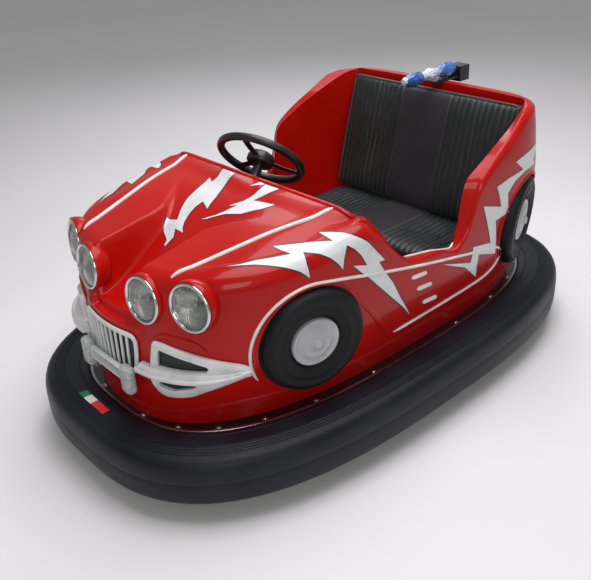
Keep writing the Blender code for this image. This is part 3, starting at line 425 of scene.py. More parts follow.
# ribs, nose to tail: how far round at the widest level, the rim point it climbs to, the radius
# of its shoulder, how far the inner skin goes down, and 1 where the hood covers it
RIBS = (
    ("nose", 0.000, (0.000, -0.250, 0.748), 0.022, 0.035, 1),
    ("nose", 0.045, (0.090, -0.250, 0.748), 0.022, 0.035, 1),
    ("nose", 0.082, (0.165, -0.250, 0.748), 0.022, 0.035, 1),
    ("nose", 0.098, (0.200, -0.250, 0.748), 0.035, 0.035, 1),
    ("nose", 0.133, (0.240, -0.250, 0.748), 0.045, 0.035, 1),
    ("nose", 0.147, (0.262, -0.250, 0.748), 0.050, 0.035, 1),
    ("nose", 0.221, (0.325, -0.250, 0.748), 0.050, 0.035, 1),
    ("nose", 0.300, (0.362, -0.250, 0.747), 0.055, 0.035, 1),
    ("nose", 0.370, (0.380, -0.250, 0.745), 0.060, 0.035, 1),
    ("side", -0.600, (0.390, -0.249, 0.742), 0.060, 0.035, 1),
    ("side", -0.450, (0.399, -0.246, 0.737), 0.055, 0.035, 1),
    ("side", -0.310, (0.413, -0.232, 0.724), 0.050, 0.035, 1),
    ("side", -0.220, (0.432, -0.188, 0.690), 0.036, 0.060, 0),
    ("side", -0.160, (0.447, -0.145, 0.625), 0.022, 0.200, 0),
    ("side", -0.100, (0.454, -0.104, 0.571), 0.012, 0.330, 0),
    ("side", 0.030, (0.454, 0.030, 0.540), 0.010, 0.310, 0),
    ("side", 0.140, (0.448, 0.140, 0.510), 0.010, 0.280, 0),
    ("side", 0.190, (0.440, 0.178, 0.560), 0.012, 0.300, 0),
    ("side", 0.230, (0.440, 0.212, 0.700), 0.016, 0.380, 0),
    ("side", 0.290, (0.440, 0.290, 0.748), 0.018, 0.430, 0),
    ("side", 0.420, (0.427, 0.440, 0.812), 0.020, 0.500, 0),
    ("side", 0.540, (0.400, 0.560, 0.858), 0.020, 0.540, 0),
    ("tail", 0.415, (0.372, 0.600, 0.865), 0.020, 0.420, 0),
    ("tail", 0.320, (0.300, 0.618, 0.865), 0.020, 0.100, 0),
    ("tail", 0.160, (0.160, 0.624, 0.865), 0.020, 0.080, 0),
    ("tail", 0.000, (0.000, 0.626, 0.865), 0.020, 0.080, 0),
)
BODY_FOOT = 0.2064
SKIN = 0.003
COWL_Y, COWL_Z = -0.250, 0.748
TOP_STEPS = 40
RIM_FIRST = 34 + 7 + TOP_STEPS - 1


def eased(knots, values, at):
    """A smooth curve through the values that never overshoots them."""
    knots, values = np.asarray(knots, float), np.asarray(values, float)
    step = np.diff(knots)
    slope = np.diff(values) / step
    bend = np.zeros_like(values)
    for i in range(1, len(values) - 1):
        if slope[i - 1] * slope[i] > 0:
            bend[i] = 2 * slope[i - 1] * slope[i] / (slope[i - 1] + slope[i])
    bend[0], bend[-1] = slope[0], slope[-1]
    i = int(np.clip(np.searchsorted(knots, at) - 1, 0, len(step) - 1))
    t, h = (at - knots[i]) / step[i], step[i]
    near = values[i] * (1 + 2 * t) * (1 - t) ** 2 + bend[i] * h * t * (1 - t) ** 2
    return near + values[i + 1] * t * t * (3 - 2 * t) + bend[i + 1] * h * t * t * (t - 1)


def smooth_step(low, high, value):
    """0 at low, 1 at high, and an easy run between them."""
    t = min(1.0, max(0.0, (value - low) / (high - low)))
    return t * t * (3 - 2 * t)


HEIGHTS = np.linspace(0.20, 0.90, 351)
level_heights = [row[0] for row in LEVELS]
LEVEL_LINES = [
    [eased(level_heights, [row[i] for row in LEVELS], min(max(z, 0.206), 0.865)) for z in HEIGHTS]
    for i in range(1, 6)
]


def rib_angle(kind, share):
    """The angle round the widest level of a rib that stands a given way along it."""
    _, wide, front, rear, front_power, rear_power = WIDEST
    if kind == "nose":
        return math.asin((share / wide) ** (front_power / 2))
    if kind == "tail":
        return math.pi - math.asin((share / wide) ** (rear_power / 2))
    if share < 0:
        return math.acos((-share / front) ** (front_power / 2))
    return math.pi - math.acos((share / rear) ** (rear_power / 2))


def on_skin(angle, z, inset=0.0):
    """The outside of the body at an angle round it and a height, moved in by the inset."""
    wide, front, rear, front_power, rear_power = (float(np.interp(z, HEIGHTS, line)) for line in LEVEL_LINES)
    c, s = math.cos(angle), max(math.sin(angle), 0.0)
    power, long = (front_power, front) if c > 0 else (rear_power, rear)
    y = (long - inset) * abs(c) ** (2 / power)
    return Vector(((wide - inset) * s ** (2 / power), -y if c > 0 else y, z))


def snout_face(x):
    """How far forward the bowed face behind the grille stands."""
    return -0.830 + 1.1 * x * x


def hood(x, y):
    """Height of the hood: two ridges with a hollow between them that deepens towards the nose."""
    ridge = COWL_Z + 0.178 * (y - COWL_Y) + 0.010 * smooth_step(COWL_Y, 2 * COWL_Y, y)
    ridge -= 0.020 * smooth_step(0.300, 0.420, abs(x))
    deep = 0.142 * smooth_step(-0.360, -0.800, y) ** 1.2
    edge = 0.0918 + 0.120 * smooth_step(-0.560, -0.360, y)
    return ridge - deep * smooth_step(edge + 0.028, edge - 0.016, abs(x))


def rib(at):
    """One line over the moulding: up the outside, over the shoulder, along to the rim and down inside."""
    places = list(range(len(RIBS)))
    angle = eased(places, [rib_angle(kind, share) for kind, share, *_ in RIBS], at)
    rim = Vector([eased(places, [row[2][i] for row in RIBS], at) for i in range(3)])
    radius, drop = (eased(places, [row[i] for row in RIBS], at) for i in (3, 4))
    covered = smooth_step(12.0, 11.0, at)
    top = rim.z
    for _ in range(4):
        guess = on_skin(angle, top, radius)
        top = rim.z + covered * (hood(guess.x, guess.y) - rim.z)
    base = top - radius
    points = []
    for t in np.linspace(0.0, 1.0, 34):
        point = on_skin(angle, BODY_FOOT + t * (base - BODY_FOOT))
        if at < 5.2:
            near = smooth_step(0.149, 0.139, point.x) * smooth_step(0.300, 0.345, point.z)
            near *= smooth_step(0.545, 0.500, point.z)
            point.y += near * min(0.0, snout_face(point.x) - point.y)
        points.append(point)
    for degrees in range(12, 91, 13):
        bend = math.radians(degrees)
        point = on_skin(angle, base, radius * (1 - math.cos(bend)))
        point.z = base + radius * math.sin(bend)
        points.append(point)
    shoulder = points[-1]
    tops = []
    for t in np.linspace(0.03, 1.0, TOP_STEPS):
        point = shoulder.lerp(rim, t)
        if covered > 0:
            blend = smooth_step(0.8, 1.0, t)
            lifted = hood(point.x, point.y) * (1 - blend) + rim.z * blend
            point.z += covered * (lifted - point.z)
        tops.append(point)
    before = tops[-2]
    arrive = (rim - before).normalized()
    turn = min(0.008, (rim - before).length * 0.7)
    for t in (0.0, 0.25, 0.5, 0.75, 1.0):
        first, last = rim - arrive * turn, rim - Vector((0, 0, turn))
        tops.insert(len(tops) - 1, first * (1 - t) ** 2 + rim * (2 * t * (1 - t)) + last * t * t)
    tops.pop()
    points += tops
    gap = 0.048 if at > 17.5 else 0.030
    for t in np.linspace(0.12, 1.0, 8):
        point = rim - Vector((0, 0, turn + (drop - turn) * t))
        point.x = min(point.x, on_skin(angle, point.z, gap).x)
        points.append(point)
    return points


stations = sorted({k / 5 for k in range(5 * (len(RIBS) - 1) + 1)} | {1 + k / 20 for k in range(81)})
half = [rib(at) for at in stations]
other = [[Vector((-point.x, point.y, point.z)) for point in row] for row in reversed(half[1:-1])]
skin = bmesh.new()
lofted(skin, half + other, loop=True)
bmesh.ops.recalc_face_normals(skin, faces=skin.faces)
front_face = min(skin.faces, key=lambda face: face.calc_center_median().y)
if front_face.normal.y > 0:
    bmesh.ops.reverse_faces(skin, faces=skin.faces)
BODY = BVHTree.FromBMesh(skin)


red_lacquer = finish("Red lacquer", (0.370, 0.0025, 0.0010), (0.450, 0.0050, 0.0020), (0.26, 0.36),
                     mottle=2.5, grain=90.0,
                  relief=0.00012, scratches=0.05, coat_weight=0.22, coat_roughness=0.05,
                  specular_ior_level=0.14)
body = piece("body_moulding", skin, red_lacquer, slot="body_red", replaces=["body_shell"], sharp=40)
thickness = body.modifiers.new("Skin", "SOLIDIFY")
thickness.thickness = SKIN
thickness.offset = -1


def cut_away(obj, cutters, label, crossing=False):
    """Cuts closed shapes out of a piece for good; crossing is for a skin that meets itself."""
    mesh = bpy.data.meshes.new(label)
    cutters.to_mesh(mesh)
    cutters.free()
    cutter = bpy.data.objects.new(label, mesh)
    bpy.context.scene.collection.objects.link(cutter)
    cut = obj.modifiers.new(label, "BOOLEAN")
    cut.operation = "DIFFERENCE"
    cut.solver = "EXACT"
    cut.use_self = crossing
    cut.object = cutter
    bpy.context.view_layer.update()
    graph = bpy.context.evaluated_depsgraph_get()
    left = bpy.data.meshes.new_from_object(obj.evaluated_get(graph))
    obj.modifiers.clear()
    obj.data = left
    bpy.data.objects.remove(cutter)


# wells of the dummy wheels: end, centre on the left side, yaw and depth; and of the lamps: end,
# centre and how far outwards the lamp looks
DUMMY_WELLS = (("front", (0.458, -0.453, 0.442), -13, 0.045), ("rear", (0.434, 0.545, 0.470), 20, 0.030))
LAMP_WELLS = (("inner", (0.147, -0.785, 0.590), 0.10), ("outer", (0.304, -0.738, 0.607), 0.26))
DUMMY_HOLE = 0.164
LAMP_HOLE = 0.070
TILT = math.radians(4.0)
DUMMIES = {}
LAMPS = {}
wells = bmesh.new()
for side, hand in SIDES:
    for end, spot, yaw, deep in DUMMY_WELLS:
        turned = math.radians(yaw)
        direction = (side * math.cos(turned) * math.cos(TILT), math.sin(turned) * math.cos(TILT),
                     -math.sin(TILT))
        where = facing((side * spot[0], spot[1], spot[2]), direction)
        DUMMIES[end, hand] = where
        spun(wells, [(0, -deep), (DUMMY_HOLE, -deep), (DUMMY_HOLE, 0.060), (0, 0.060)], 72, where)
    for end, spot, outwards in LAMP_WELLS:
        where = facing((side * spot[0], spot[1], spot[2]), (side * outwards, -1.0, 0.10))
        LAMPS[end, hand] = where
        spun(wells, [(0, -0.050), (0.030, -0.046), (0.050, -0.032), (0.064, -0.014), (LAMP_HOLE, -0.005),
                     (LAMP_HOLE, 0.080), (0, 0.080)], 56, where)
cut_away(body, wells, "wells", crossing=True)
body.data.set_sharp_from_angle(angle=math.radians(40))


# Lips and trim on the body: the edge of each wheel well, the cowl, a brow over each wing and a
# crease behind the front wheel are beads of the moulding itself. Cream plastic strips run along
# the hood, round the front wheel, along the side and back; three short bars mark the vent.

def on_body(point, direction):
    """Where a line through the point, looking along the direction, meets the body, and its outward normal."""
    look = Vector(direction).normalized()
    spot, normal, _, _ = BODY.ray_cast(Vector(point) - look * 0.5, look)
    if spot is None:
        spot, normal, _, _ = BODY.find_nearest(Vector(point))
    if normal.dot(look) > 0:
        normal = -normal
    return spot, normal


def smooth_line(points, count, closed=False):
    """Points evenly spaced along a soft curve through the given ones."""
    points = [Vector(point) for point in points]
    if closed:
        points = points + [points[0]]
    along = [0.0]
    for first, second in zip(points, points[1:]):
        along.append(along[-1] + (second - first).length)
    found = []
    for at in np.linspace(0.0, along[-1], count):
        found.append(Vector([eased(along, [point[i] for point in points], at) for i in range(3)]))
    return found[:-1] if closed else found


def sweep(made, line, ups, section, closed=False, taper=0):
    """Draws a section (sideways, upwards) along a line by extruding it from point to point."""
    rows = []
    count = len(line)
    for i, (point, up) in enumerate(zip(line, ups)):
        before = line[i - 1] if i or closed else line[0]
        after = line[(i + 1) % count] if i + 1 < count or closed else line[-1]
        tangent = (after - before).normalized()
        side = tangent.cross(up).normalized()
        lift = side.cross(tangent).normalized()
        end = min(i, count - 1 - i)
        size = 1.0 if closed or end >= taper else math.sin(math.pi / 2 * (end + 0.6) / (taper + 0.6))
        rows.append([point + side * a * size + lift * b * size for a, b in section])
    lofted(made, rows, round_rows=True, loop=closed, capped=not closed)


def half_round(wide, tall, sunk=0.0015, steps=8):
    """Section of a strip: a low arch with its foot sunk into what carries it."""
    arch = []
    for i in range(steps + 1):
        angle = math.pi * i / steps
        arch.append((wide / 2 * math.cos(angle), tall * math.sin(angle) ** 0.8 if 0 < i < steps else 0.0))
    return [(wide / 2, -sunk)] + arch + [(-wide / 2, -sunk)]


def pressed(points, direction):
    """The points moved along the direction onto the body, and its normal at each of them."""
    found = [on_body(point, direction) for point in points]
    return [spot for spot, _ in found], [normal for _, normal in found]


def strip(name, runs, section, look, slot, taper=0, closed=False):
    """A piece of trim: one section swept along each run."""
    made = bmesh.new()
    for line, ups in runs:
        sweep(made, line, ups, section, closed=closed, taper=taper)
    piece(name, made, look, slot=slot)


cream_trim = finish("Cream trim plastic", (0.66, 0.63, 0.60), (0.78, 0.75, 0.72), (0.22, 0.36), mottle=20.0,
                    grain=200.0, coat_weight=0.3)
FLANK_X = 0.45
WELL_LIP = DUMMY_HOLE + 0.0025
TRIM_ARCH = 0.1745
# (along, up) the flank: the side trim behind its arch, the vent bars' middles and the crease
TRIM_LINE = (
    (-0.374, 0.604), (-0.241, 0.574), (0.000, 0.517), (0.200, 0.474), (0.340, 0.443), (0.385, 0.428),
    (0.409, 0.399), (0.400, 0.365), (0.375, 0.343), (0.320, 0.330), (0.150, 0.324), (-0.121, 0.317),
)
VENT_BARS = ((-0.039, 0.492), (-0.008, 0.441), (0.033, 0.374))
CREASE_LINE = ((-0.330, 0.548), (-0.280, 0.500), (-0.215, 0.415), (-0.130, 0.300))
BROW_LINE = (
    (0.176, -0.792, 0.470), (0.192, -0.788, 0.492), (0.226, -0.776, 0.510), (0.280, -0.749, 0.506),
    (0.315, -0.723, 0.487), (0.330, -0.708, 0.462),
)
for side, hand in SIDES:
    line = [(side * (0.221 + 0.130 * t), -0.768 + 0.504 * t, 0.70) for t in np.linspace(0.06, 1.0, 40)]
    strip("hood_strip_" + hand, [pressed(line, (0, 0, -1))], half_round(0.013, 0.0065), cream_trim, "silver",
          taper=2)

    inward = (-side, 0, 0)
    flat = [(0.0, -0.453 + TRIM_ARCH * math.cos(angle), 0.442 + TRIM_ARCH * math.sin(angle))
            for angle in (math.radians(degrees) for degrees in range(212, 88, -6))]
    flat = smooth_line(flat + [(0, y, z) for y, z in TRIM_LINE], 150)
    line = [(side * FLANK_X, point.y, point.z) for point in flat]
    strip("side_trim_" + hand, [pressed(line, inward)], half_round(0.0095, 0.0050), cream_trim, "silver",
          taper=3)

    runs = []
    for y, z in VENT_BARS:
        line = [(side * FLANK_X, y + 0.035 * t, z - 0.0037 * t) for t in np.linspace(-1.0, 1.0, 24)]
        runs.append(pressed(line, inward))
    strip("vent_bars_" + hand, runs, half_round(0.0150, 0.0070), cream_trim, "silver", taper=3)

    for end in ("front", "rear"):
        where = DUMMIES[end, hand]
        outward = (where.to_3x3() @ Vector((0, 0, 1))).normalized()
        turns = [2 * math.pi * i / 120 for i in range(120)]
        line = [where @ Vector((WELL_LIP * math.cos(turn), WELL_LIP * math.sin(turn), 0.0)) for turn in turns]
        strip(f"{end}_well_lip_{hand}", [pressed(line, -outward)], half_round(0.0085, 0.0035, sunk=0.004),
              red_lacquer, "body_red", closed=True)

    flat = smooth_line([(0, y, z) for y, z in CREASE_LINE], 60)
    line = [(side * FLANK_X, point.y, point.z) for point in flat]
    strip("flank_crease_" + hand, [pressed(line, inward)], half_round(0.020, 0.0040, sunk=0.003), red_lacquer,
          "body_red", taper=8)

    line = smooth_line([(side * x, y, z) for x, y, z in BROW_LINE], 60)
    strip("wing_brow_" + hand, [pressed(line, (0, 1, 0))], half_round(0.011, 0.0050, sunk=0.003), red_lacquer,
          "body_red", taper=6)

# a plain raised ring in the hollow above the grille
spot, normal = on_body((0.0, -0.657, 0.70), (0, 0, -1))
badge = [(0.0150, -0.002), (0.0155, 0.0018), (0.0180, 0.0034), (0.0215, 0.0034), (0.0240, 0.0018),
         (0.0250, -0.002)]
turned_piece("nose_badge", badge, 48, facing(spot, normal), red_lacquer, closed=True, slot="body_red")

# rolled edge of the cowl, and the bright strip on each sill's inner edge
line = [rib(at)[RIM_FIRST + 1] for at in np.linspace(12.6, 0.0, 64)]
rolled = [Vector((-point.x, point.y, point.z)) for point in line] + [point for point in reversed(line[:-1])]
rolled = [point + Vector((0, -0.006, -0.001)) for point in rolled]
ups = [Vector((0, -0.15, 1.0))] * len(rolled)
strip("cowl_bead", [(rolled, ups)], half_round(0.017, 0.0065, sunk=0.003), red_lacquer, "body_red", taper=4)
for side, hand in SIDES:
    line = [rib(at)[RIM_FIRST] for at in np.linspace(14.2, 16.4, 40)]
    line = [Vector((side * point.x, point.y, point.z + 0.0005)) for point in line]
    strip("sill_strip_" + hand, [(line, [Vector((0, 0, 1))] * len(line))], half_round(0.007, 0.003),
          cream_trim, "silver", taper=3)


# Lightning bolts: white vinyl film with a thin black border, cut and pressed onto the
# lacquer. Two lie on the hood, one sweeps over each front wing and down behind the
# wheel, and one zigzags down each rear quarter.

HOOD_BOLT_A = (
    (-0.146, -0.271), (-0.079, -0.271), (-0.061, -0.311), (-0.032, -0.360), (-0.007, -0.402), (0.005, -0.433),
    (0.014, -0.457), (-0.031, -0.440), (-0.033, -0.463), (-0.029, -0.490), (-0.021, -0.514), (-0.009, -0.530),
    (0.008, -0.546), (-0.033, -0.544), (-0.013, -0.564), (-0.020, -0.598), (-0.031, -0.594), (-0.035, -0.581),
    (-0.072, -0.566), (-0.085, -0.556), (-0.094, -0.541), (-0.099, -0.529), (-0.060, -0.518),
    (-0.078, -0.496), (-0.091, -0.473), (-0.102, -0.448), (-0.110, -0.411), (-0.122, -0.372),
    (-0.137, -0.331), (-0.108, -0.344), (-0.114, -0.321), (-0.129, -0.299),
)
HOOD_BOLT_B = (
    (0.041, -0.269), (0.068, -0.272), (0.131, -0.270), (0.126, -0.304), (0.113, -0.355), (0.191, -0.339),
    (0.176, -0.380), (0.138, -0.429), (0.090, -0.450), (0.046, -0.487), (0.024, -0.493), (0.058, -0.460),
    (0.074, -0.436), (0.089, -0.403), (0.064, -0.419), (0.084, -0.376), (0.082, -0.334), (0.069, -0.276),
    (0.029, -0.311),
)
WING_BOLT = (
    (0.316, -0.633, 0.688), (0.337, -0.596, 0.693), (0.354, -0.556, 0.696), (0.379, -0.513, 0.697),
    (0.401, -0.479, 0.698), (0.345, -0.492, 0.708), (0.371, -0.449, 0.709), (0.399, -0.406, 0.709),
    (0.440, -0.363, 0.708), (0.385, -0.361, 0.717), (0.407, -0.335, 0.717), (0.438, -0.314, 0.716),
    (0.462, -0.293, 0.706), (0.476, -0.256, 0.676), (0.480, -0.228, 0.645), (0.479, -0.192, 0.600),
    (0.479, -0.216, 0.603), (0.478, -0.190, 0.565), (0.476, -0.156, 0.519), (0.471, -0.114, 0.446),
    (0.454, -0.052, 0.350), (0.464, -0.105, 0.403), (0.471, -0.162, 0.462), (0.474, -0.211, 0.514),
    (0.475, -0.256, 0.562), (0.474, -0.290, 0.594), (0.473, -0.319, 0.629), (0.476, -0.268, 0.613),
    (0.477, -0.289, 0.645), (0.476, -0.313, 0.672), (0.467, -0.332, 0.688), (0.471, -0.345, 0.660),
    (0.469, -0.351, 0.623), (0.467, -0.367, 0.643), (0.461, -0.394, 0.671), (0.449, -0.416, 0.687),
    (0.425, -0.448, 0.698), (0.445, -0.456, 0.677), (0.453, -0.456, 0.633), (0.440, -0.486, 0.658),
    (0.418, -0.521, 0.677), (0.397, -0.548, 0.686), (0.374, -0.572, 0.690), (0.347, -0.604, 0.690),
)
QUARTER_BOLT = (
    (0.431, 0.603, 0.735), (0.466, 0.490, 0.731), (0.476, 0.419, 0.721), (0.467, 0.479, 0.678),
    (0.478, 0.392, 0.680), (0.480, 0.319, 0.668), (0.479, 0.339, 0.630), (0.475, 0.360, 0.588),
    (0.481, 0.256, 0.623), (0.477, 0.287, 0.551), (0.469, 0.323, 0.471), (0.474, 0.224, 0.492),
    (0.472, 0.224, 0.470), (0.468, 0.222, 0.436), (0.474, 0.070, 0.486), (0.466, 0.195, 0.422),
    (0.451, 0.282, 0.351), (0.462, 0.270, 0.400), (0.468, 0.267, 0.445), (0.458, 0.373, 0.407),
    (0.467, 0.360, 0.477), (0.473, 0.341, 0.543), (0.468, 0.425, 0.545), (0.471, 0.415, 0.566),
    (0.475, 0.399, 0.620), (0.473, 0.436, 0.650), (0.463, 0.502, 0.662), (0.434, 0.598, 0.658),
    (0.443, 0.575, 0.682), (0.429, 0.612, 0.709),
)
BORDER = 0.0036
FILM_STEP = 0.007
FILM_THICK = 0.0007
white_film = finish("White vinyl film", (0.60, 0.64, 0.64), (0.72, 0.74, 0.73), (0.26, 0.40), mottle=14.0,
                    grain=160.0, coat_weight=0.3)
black_film = finish("Black vinyl film", (0.010, 0.009, 0.010), (0.022, 0.020, 0.020), (0.30, 0.45),
                    mottle=14.0)


def film(name, corners, away):
    """Film cut to the corners and pressed onto the body along the direction."""
    look = Vector(away).normalized()
    across = look.orthogonal().normalized()
    along = look.cross(across)
    made = bmesh.new()
    flat = [made.verts.new((Vector(c).dot(across), Vector(c).dot(along), 0.0)) for c in corners]
    face = made.faces.new(flat)
    if face.normal.z < 0:
        bmesh.ops.reverse_faces(made, faces=[face])
    made.normal_update()
    border = bmesh.ops.inset_region(made, faces=[face], thickness=BORDER, use_boundary=True,
                                    use_even_offset=False)["faces"]
    for edge_face in border:
        edge_face.material_index = 1
    bmesh.ops.triangulate(made, faces=made.faces, ngon_method="EAR_CLIP")
    xs, ys = ([vert.co[i] for vert in made.verts] for i in (0, 1))
    for axis, values in ((Vector((1, 0, 0)), xs), (Vector((0, 1, 0)), ys)):
        at = min(values) + FILM_STEP
        while at < max(values):
            bmesh.ops.bisect_plane(made, geom=made.verts[:] + made.edges[:] + made.faces[:],
                                   plane_co=axis * at, plane_no=axis, dist=0.00005)
            at += FILM_STEP
    level = look * sum(Vector(c).dot(look) for c in corners) / len(corners)
    for vert in made.verts:
        spot, normal = on_body(across * vert.co.x + along * vert.co.y + level, look)
        vert.co = spot + normal * FILM_THICK
    bmesh.ops.dissolve_degenerate(made, edges=made.edges, dist=0.00001)
    made.normal_update()
    if sum(face.normal.dot(look) * face.calc_area() for face in made.faces) > 0:
        bmesh.ops.reverse_faces(made, faces=made.faces)
    piece(name, made, white_film, black_film)


film("hood_bolt_near", [(x, y, 0.72) for x, y in HOOD_BOLT_A], (0, 0, -1))
film("hood_bolt_far", [(x, y, 0.72) for x, y in HOOD_BOLT_B], (0, 0, -1))
for side, hand in SIDES:
    film("wing_bolt_" + hand, [(side * x, y, z) for x, y, z in WING_BOLT], (-0.76 * side, 0.20, -0.62))
    film("quarter_bolt_" + hand, [(side * x, y, z) for x, y, z in QUARTER_BOLT], (-0.98 * side, -0.15, -0.10))


# Dummy road wheels: a moulded rubber tyre in each well, with a pressed hubcap of grey
# lacquered plastic. They never turn. The sidewall has two raised rings, and the
# hubcap a rolled edge, a step and a dome.

DUMMY_RADIUS = 0.156
tyre_rubber = finish("Moulded tyre rubber", (0.0040, 0.0045, 0.0050), (0.010, 0.0105, 0.0115), (0.45, 0.62),
                     mottle=9.0, grain=240.0, relief=0.0003, scratches=0.15, specular_ior_level=0.22)
hubcap_silver = finish("Silver lacquer", (0.36, 0.37, 0.38), (0.46, 0.46, 0.46), (0.28, 0.42), mottle=12.0,
                       grain=300.0, scratches=0.12, coat_weight=0.3)
for (end, hand), where in DUMMIES.items():
    deep = 0.045 if end == "front" else 0.030
    back, flange = 0.003 - deep, 0.1636
    tyre = [
        (0.074, back), (flange, back), (flange, -0.018), (0.1565, -0.018), (0.1565, -0.014),
        (DUMMY_RADIUS, -0.006), (0.1548, 0.001), (0.1515, 0.0070), (0.1465, 0.0108), (0.1400, 0.0128),
        (0.1385, 0.0140), (0.1365, 0.0140), (0.1350, 0.0128), (0.1180, 0.0138), (0.1120, 0.0138),
        (0.1105, 0.0150), (0.1088, 0.0150), (0.1072, 0.0136), (0.0960, 0.0110), (0.0860, 0.0062),
        (0.0810, 0.0030), (0.0780, -0.0020), (0.0740, -0.0040),
    ]
    turned_piece(f"{end}_tyre_{hand}", tyre, 96, where, tyre_rubber, closed=True, slot="rubber",
                 replaces=[f"{end}_dummy_tyre_{hand}"], sharp=50)
    cap = [
        (0.0, -0.010), (0.0735, -0.010), (0.0735, 0.0040), (0.0725, 0.0072), (0.0695, 0.0090),
        (0.0660, 0.0088), (0.0625, 0.0066), (0.0600, 0.0054), (0.0580, 0.0056), (0.0500, 0.0098),
        (0.0425, 0.0132), (0.0395, 0.0142), (0.0375, 0.0138), (0.0345, 0.0126), (0.0300, 0.0126),
        (0.0230, 0.0148), (0.0165, 0.0170), (0.0150, 0.0186), (0.0135, 0.0222), (0.0115, 0.0240),
        (0.0070, 0.0254), (0.0, 0.0260),
    ]
    turned_piece(f"{end}_cap_{hand}", cap, 72, where, hubcap_silver, slot="silver",
                 replaces=[f"{end}_hubcap_{hand}"], sharp=50)


# Headlamps: twin round lamps on each side. Each has a red socket faired into the nose, a
# chromed ring, a polished bowl with a bulb cap, and a moulded glass with upright flutes.

chrome = finish("Chrome plate", (0.62, 0.62, 0.63), (0.74, 0.74, 0.75), (0.05, 0.14), mottle=18.0,
                grain=300.0, relief=0.00003, metallic=1.0)
lamp_glass = finish("Fluted lamp glass", (0.90, 0.92, 0.88), (0.95, 0.96, 0.93), (0.02, 0.07), mottle=160.0,
                    grain=420.0, relief=0.0002, transmission_weight=1.0, ior=1.45)
bowl_silver = finish("Lamp bowl", (0.50, 0.52, 0.48), (0.88, 0.89, 0.86), (0.08, 0.22), mottle=120.0,
                     grain=200.0, relief=0.0006, metallic=1.0)


def painted_flute_shade(look, period, dark):
    """Painted light and shade: upright dark bands multiplied into a finish's colour, standing in for the way
    the glass's flutes in front break the light up.
    """
    nodes, links = look.node_tree.nodes, look.node_tree.links
    place = nodes.new("ShaderNodeTexCoord")
    bands = nodes.new("ShaderNodeTexWave")
    bands.bands_direction = "X"
    bands.inputs["Scale"].default_value = 2 * math.pi / (20 * period)
    bands.inputs["Distortion"].default_value = 0.6
    links.new(place.outputs["Object"], bands.inputs["Vector"])
    shade = nodes.new("ShaderNodeMapRange")
    shade.inputs["To Min"].default_value = dark
    links.new(bands.outputs["Fac"], shade.inputs["Value"])
    scaled = nodes.new("ShaderNodeVectorMath")
    scaled.operation = "SCALE"
    socket = nodes["Principled BSDF"].inputs["Base Color"]
    links.new(socket.links[0].from_socket, scaled.inputs[0])
    links.new(shade.outputs["Result"], scaled.inputs["Scale"])
    links.new(scaled.outputs["Vector"], socket)


FLUTE_PITCH, FLUTE_DEEP = 0.0085, 0.0014
GLASS_RADIUS, GLASS_DOME, GLASS_FALL, GLASS_THICK = 0.0585, 0.0160, 0.0135, 0.0030
# Painted shade: the lamp bowl's colour is darkened in upright bands, where the flutes of the glass in front
# would break up its reflection.
painted_flute_shade(bowl_silver, FLUTE_PITCH, 0.25)
for (end, hand), where in LAMPS.items():
    ring_outline = [
        (0.0592, -0.006), (0.0592, 0.0015), (0.0605, 0.0055), (0.0628, 0.0078), (0.0655, 0.0084),
        (0.0680, 0.0072), (0.0694, 0.0040), (0.0696, -0.0040), (0.0696, -0.012), (0.0640, -0.012),
        (0.0620, -0.006),
    ]
    turned_piece(f"{end}_lamp_ring_{hand}", ring_outline, 72, where, chrome, closed=True, slot="chrome",
                 replaces=[f"{end}_headlamp_bezel_{hand}"], sharp=60)
    nacelle = [
        (0.0700, 0.0026), (0.0712, 0.0036), (0.0726, 0.0030), (0.0736, 0.0008), (0.0742, -0.0100),
        (0.0730, -0.0220), (0.0690, -0.0340), (0.0610, -0.0450), (0.0500, -0.0530), (0.0350, -0.0580),
        (0.0, -0.0600), (0.0, -0.0510), (0.0300, -0.0470), (0.0450, -0.0380), (0.0560, -0.0260),
        (0.0640, -0.0135), (0.0700, -0.0135),
    ]
    turned_piece(f"{end}_lamp_socket_{hand}", nacelle, 72, where, red_lacquer, closed=True,
                 slot="body_red")
    bowl = [
        (0.0, -0.0420), (0.016, -0.0400), (0.030, -0.0340), (0.042, -0.0250), (0.052, -0.0140),
        (0.0600, -0.0062), (0.0635, -0.0062), (0.0560, -0.0170), (0.0460, -0.0280), (0.0330, -0.0375),
        (0.0180, -0.0440), (0.0, -0.0465),
    ]
    made = bmesh.new()
    spun(made, bowl, 64, where)
    bulb = [(0.0, -0.041), (0.010, -0.041), (0.010, -0.022), (0.0080, -0.0170), (0.0045, -0.0140),
            (0.0, -0.0130)]
    spun(made, bulb, 32, where)
    piece(f"{end}_lamp_bowl_{hand}", made, bowl_silver, slot="chrome", sharp=60)
    front = [(GLASS_RADIUS * t, GLASS_DOME - GLASS_FALL * t ** 2.2) for t in np.linspace(0.0, 1.0, 15)]
    rear = [(radius, height - GLASS_THICK) for radius, height in reversed(front)]
    glass = bmesh.new()
    spun(glass, front + rear, 120)
    for vert in glass.verts:
        radius = math.hypot(vert.co.x, vert.co.y)
        edge = 1.0 - smooth_step(0.050, 0.058, radius)
        if vert.co.z > GLASS_DOME - GLASS_FALL * (radius / GLASS_RADIUS) ** 2.2 - 0.001:
            vert.co.z += FLUTE_DEEP * edge * math.sin(vert.co.x * 2 * math.pi / FLUTE_PITCH)
    bmesh.ops.transform(glass, matrix=where, verts=glass.verts)
    piece(f"{end}_lamp_glass_{hand}", glass, lamp_glass, slot="glass",
          replaces=[f"{end}_headlamp_lens_{hand}"], sharp=80)
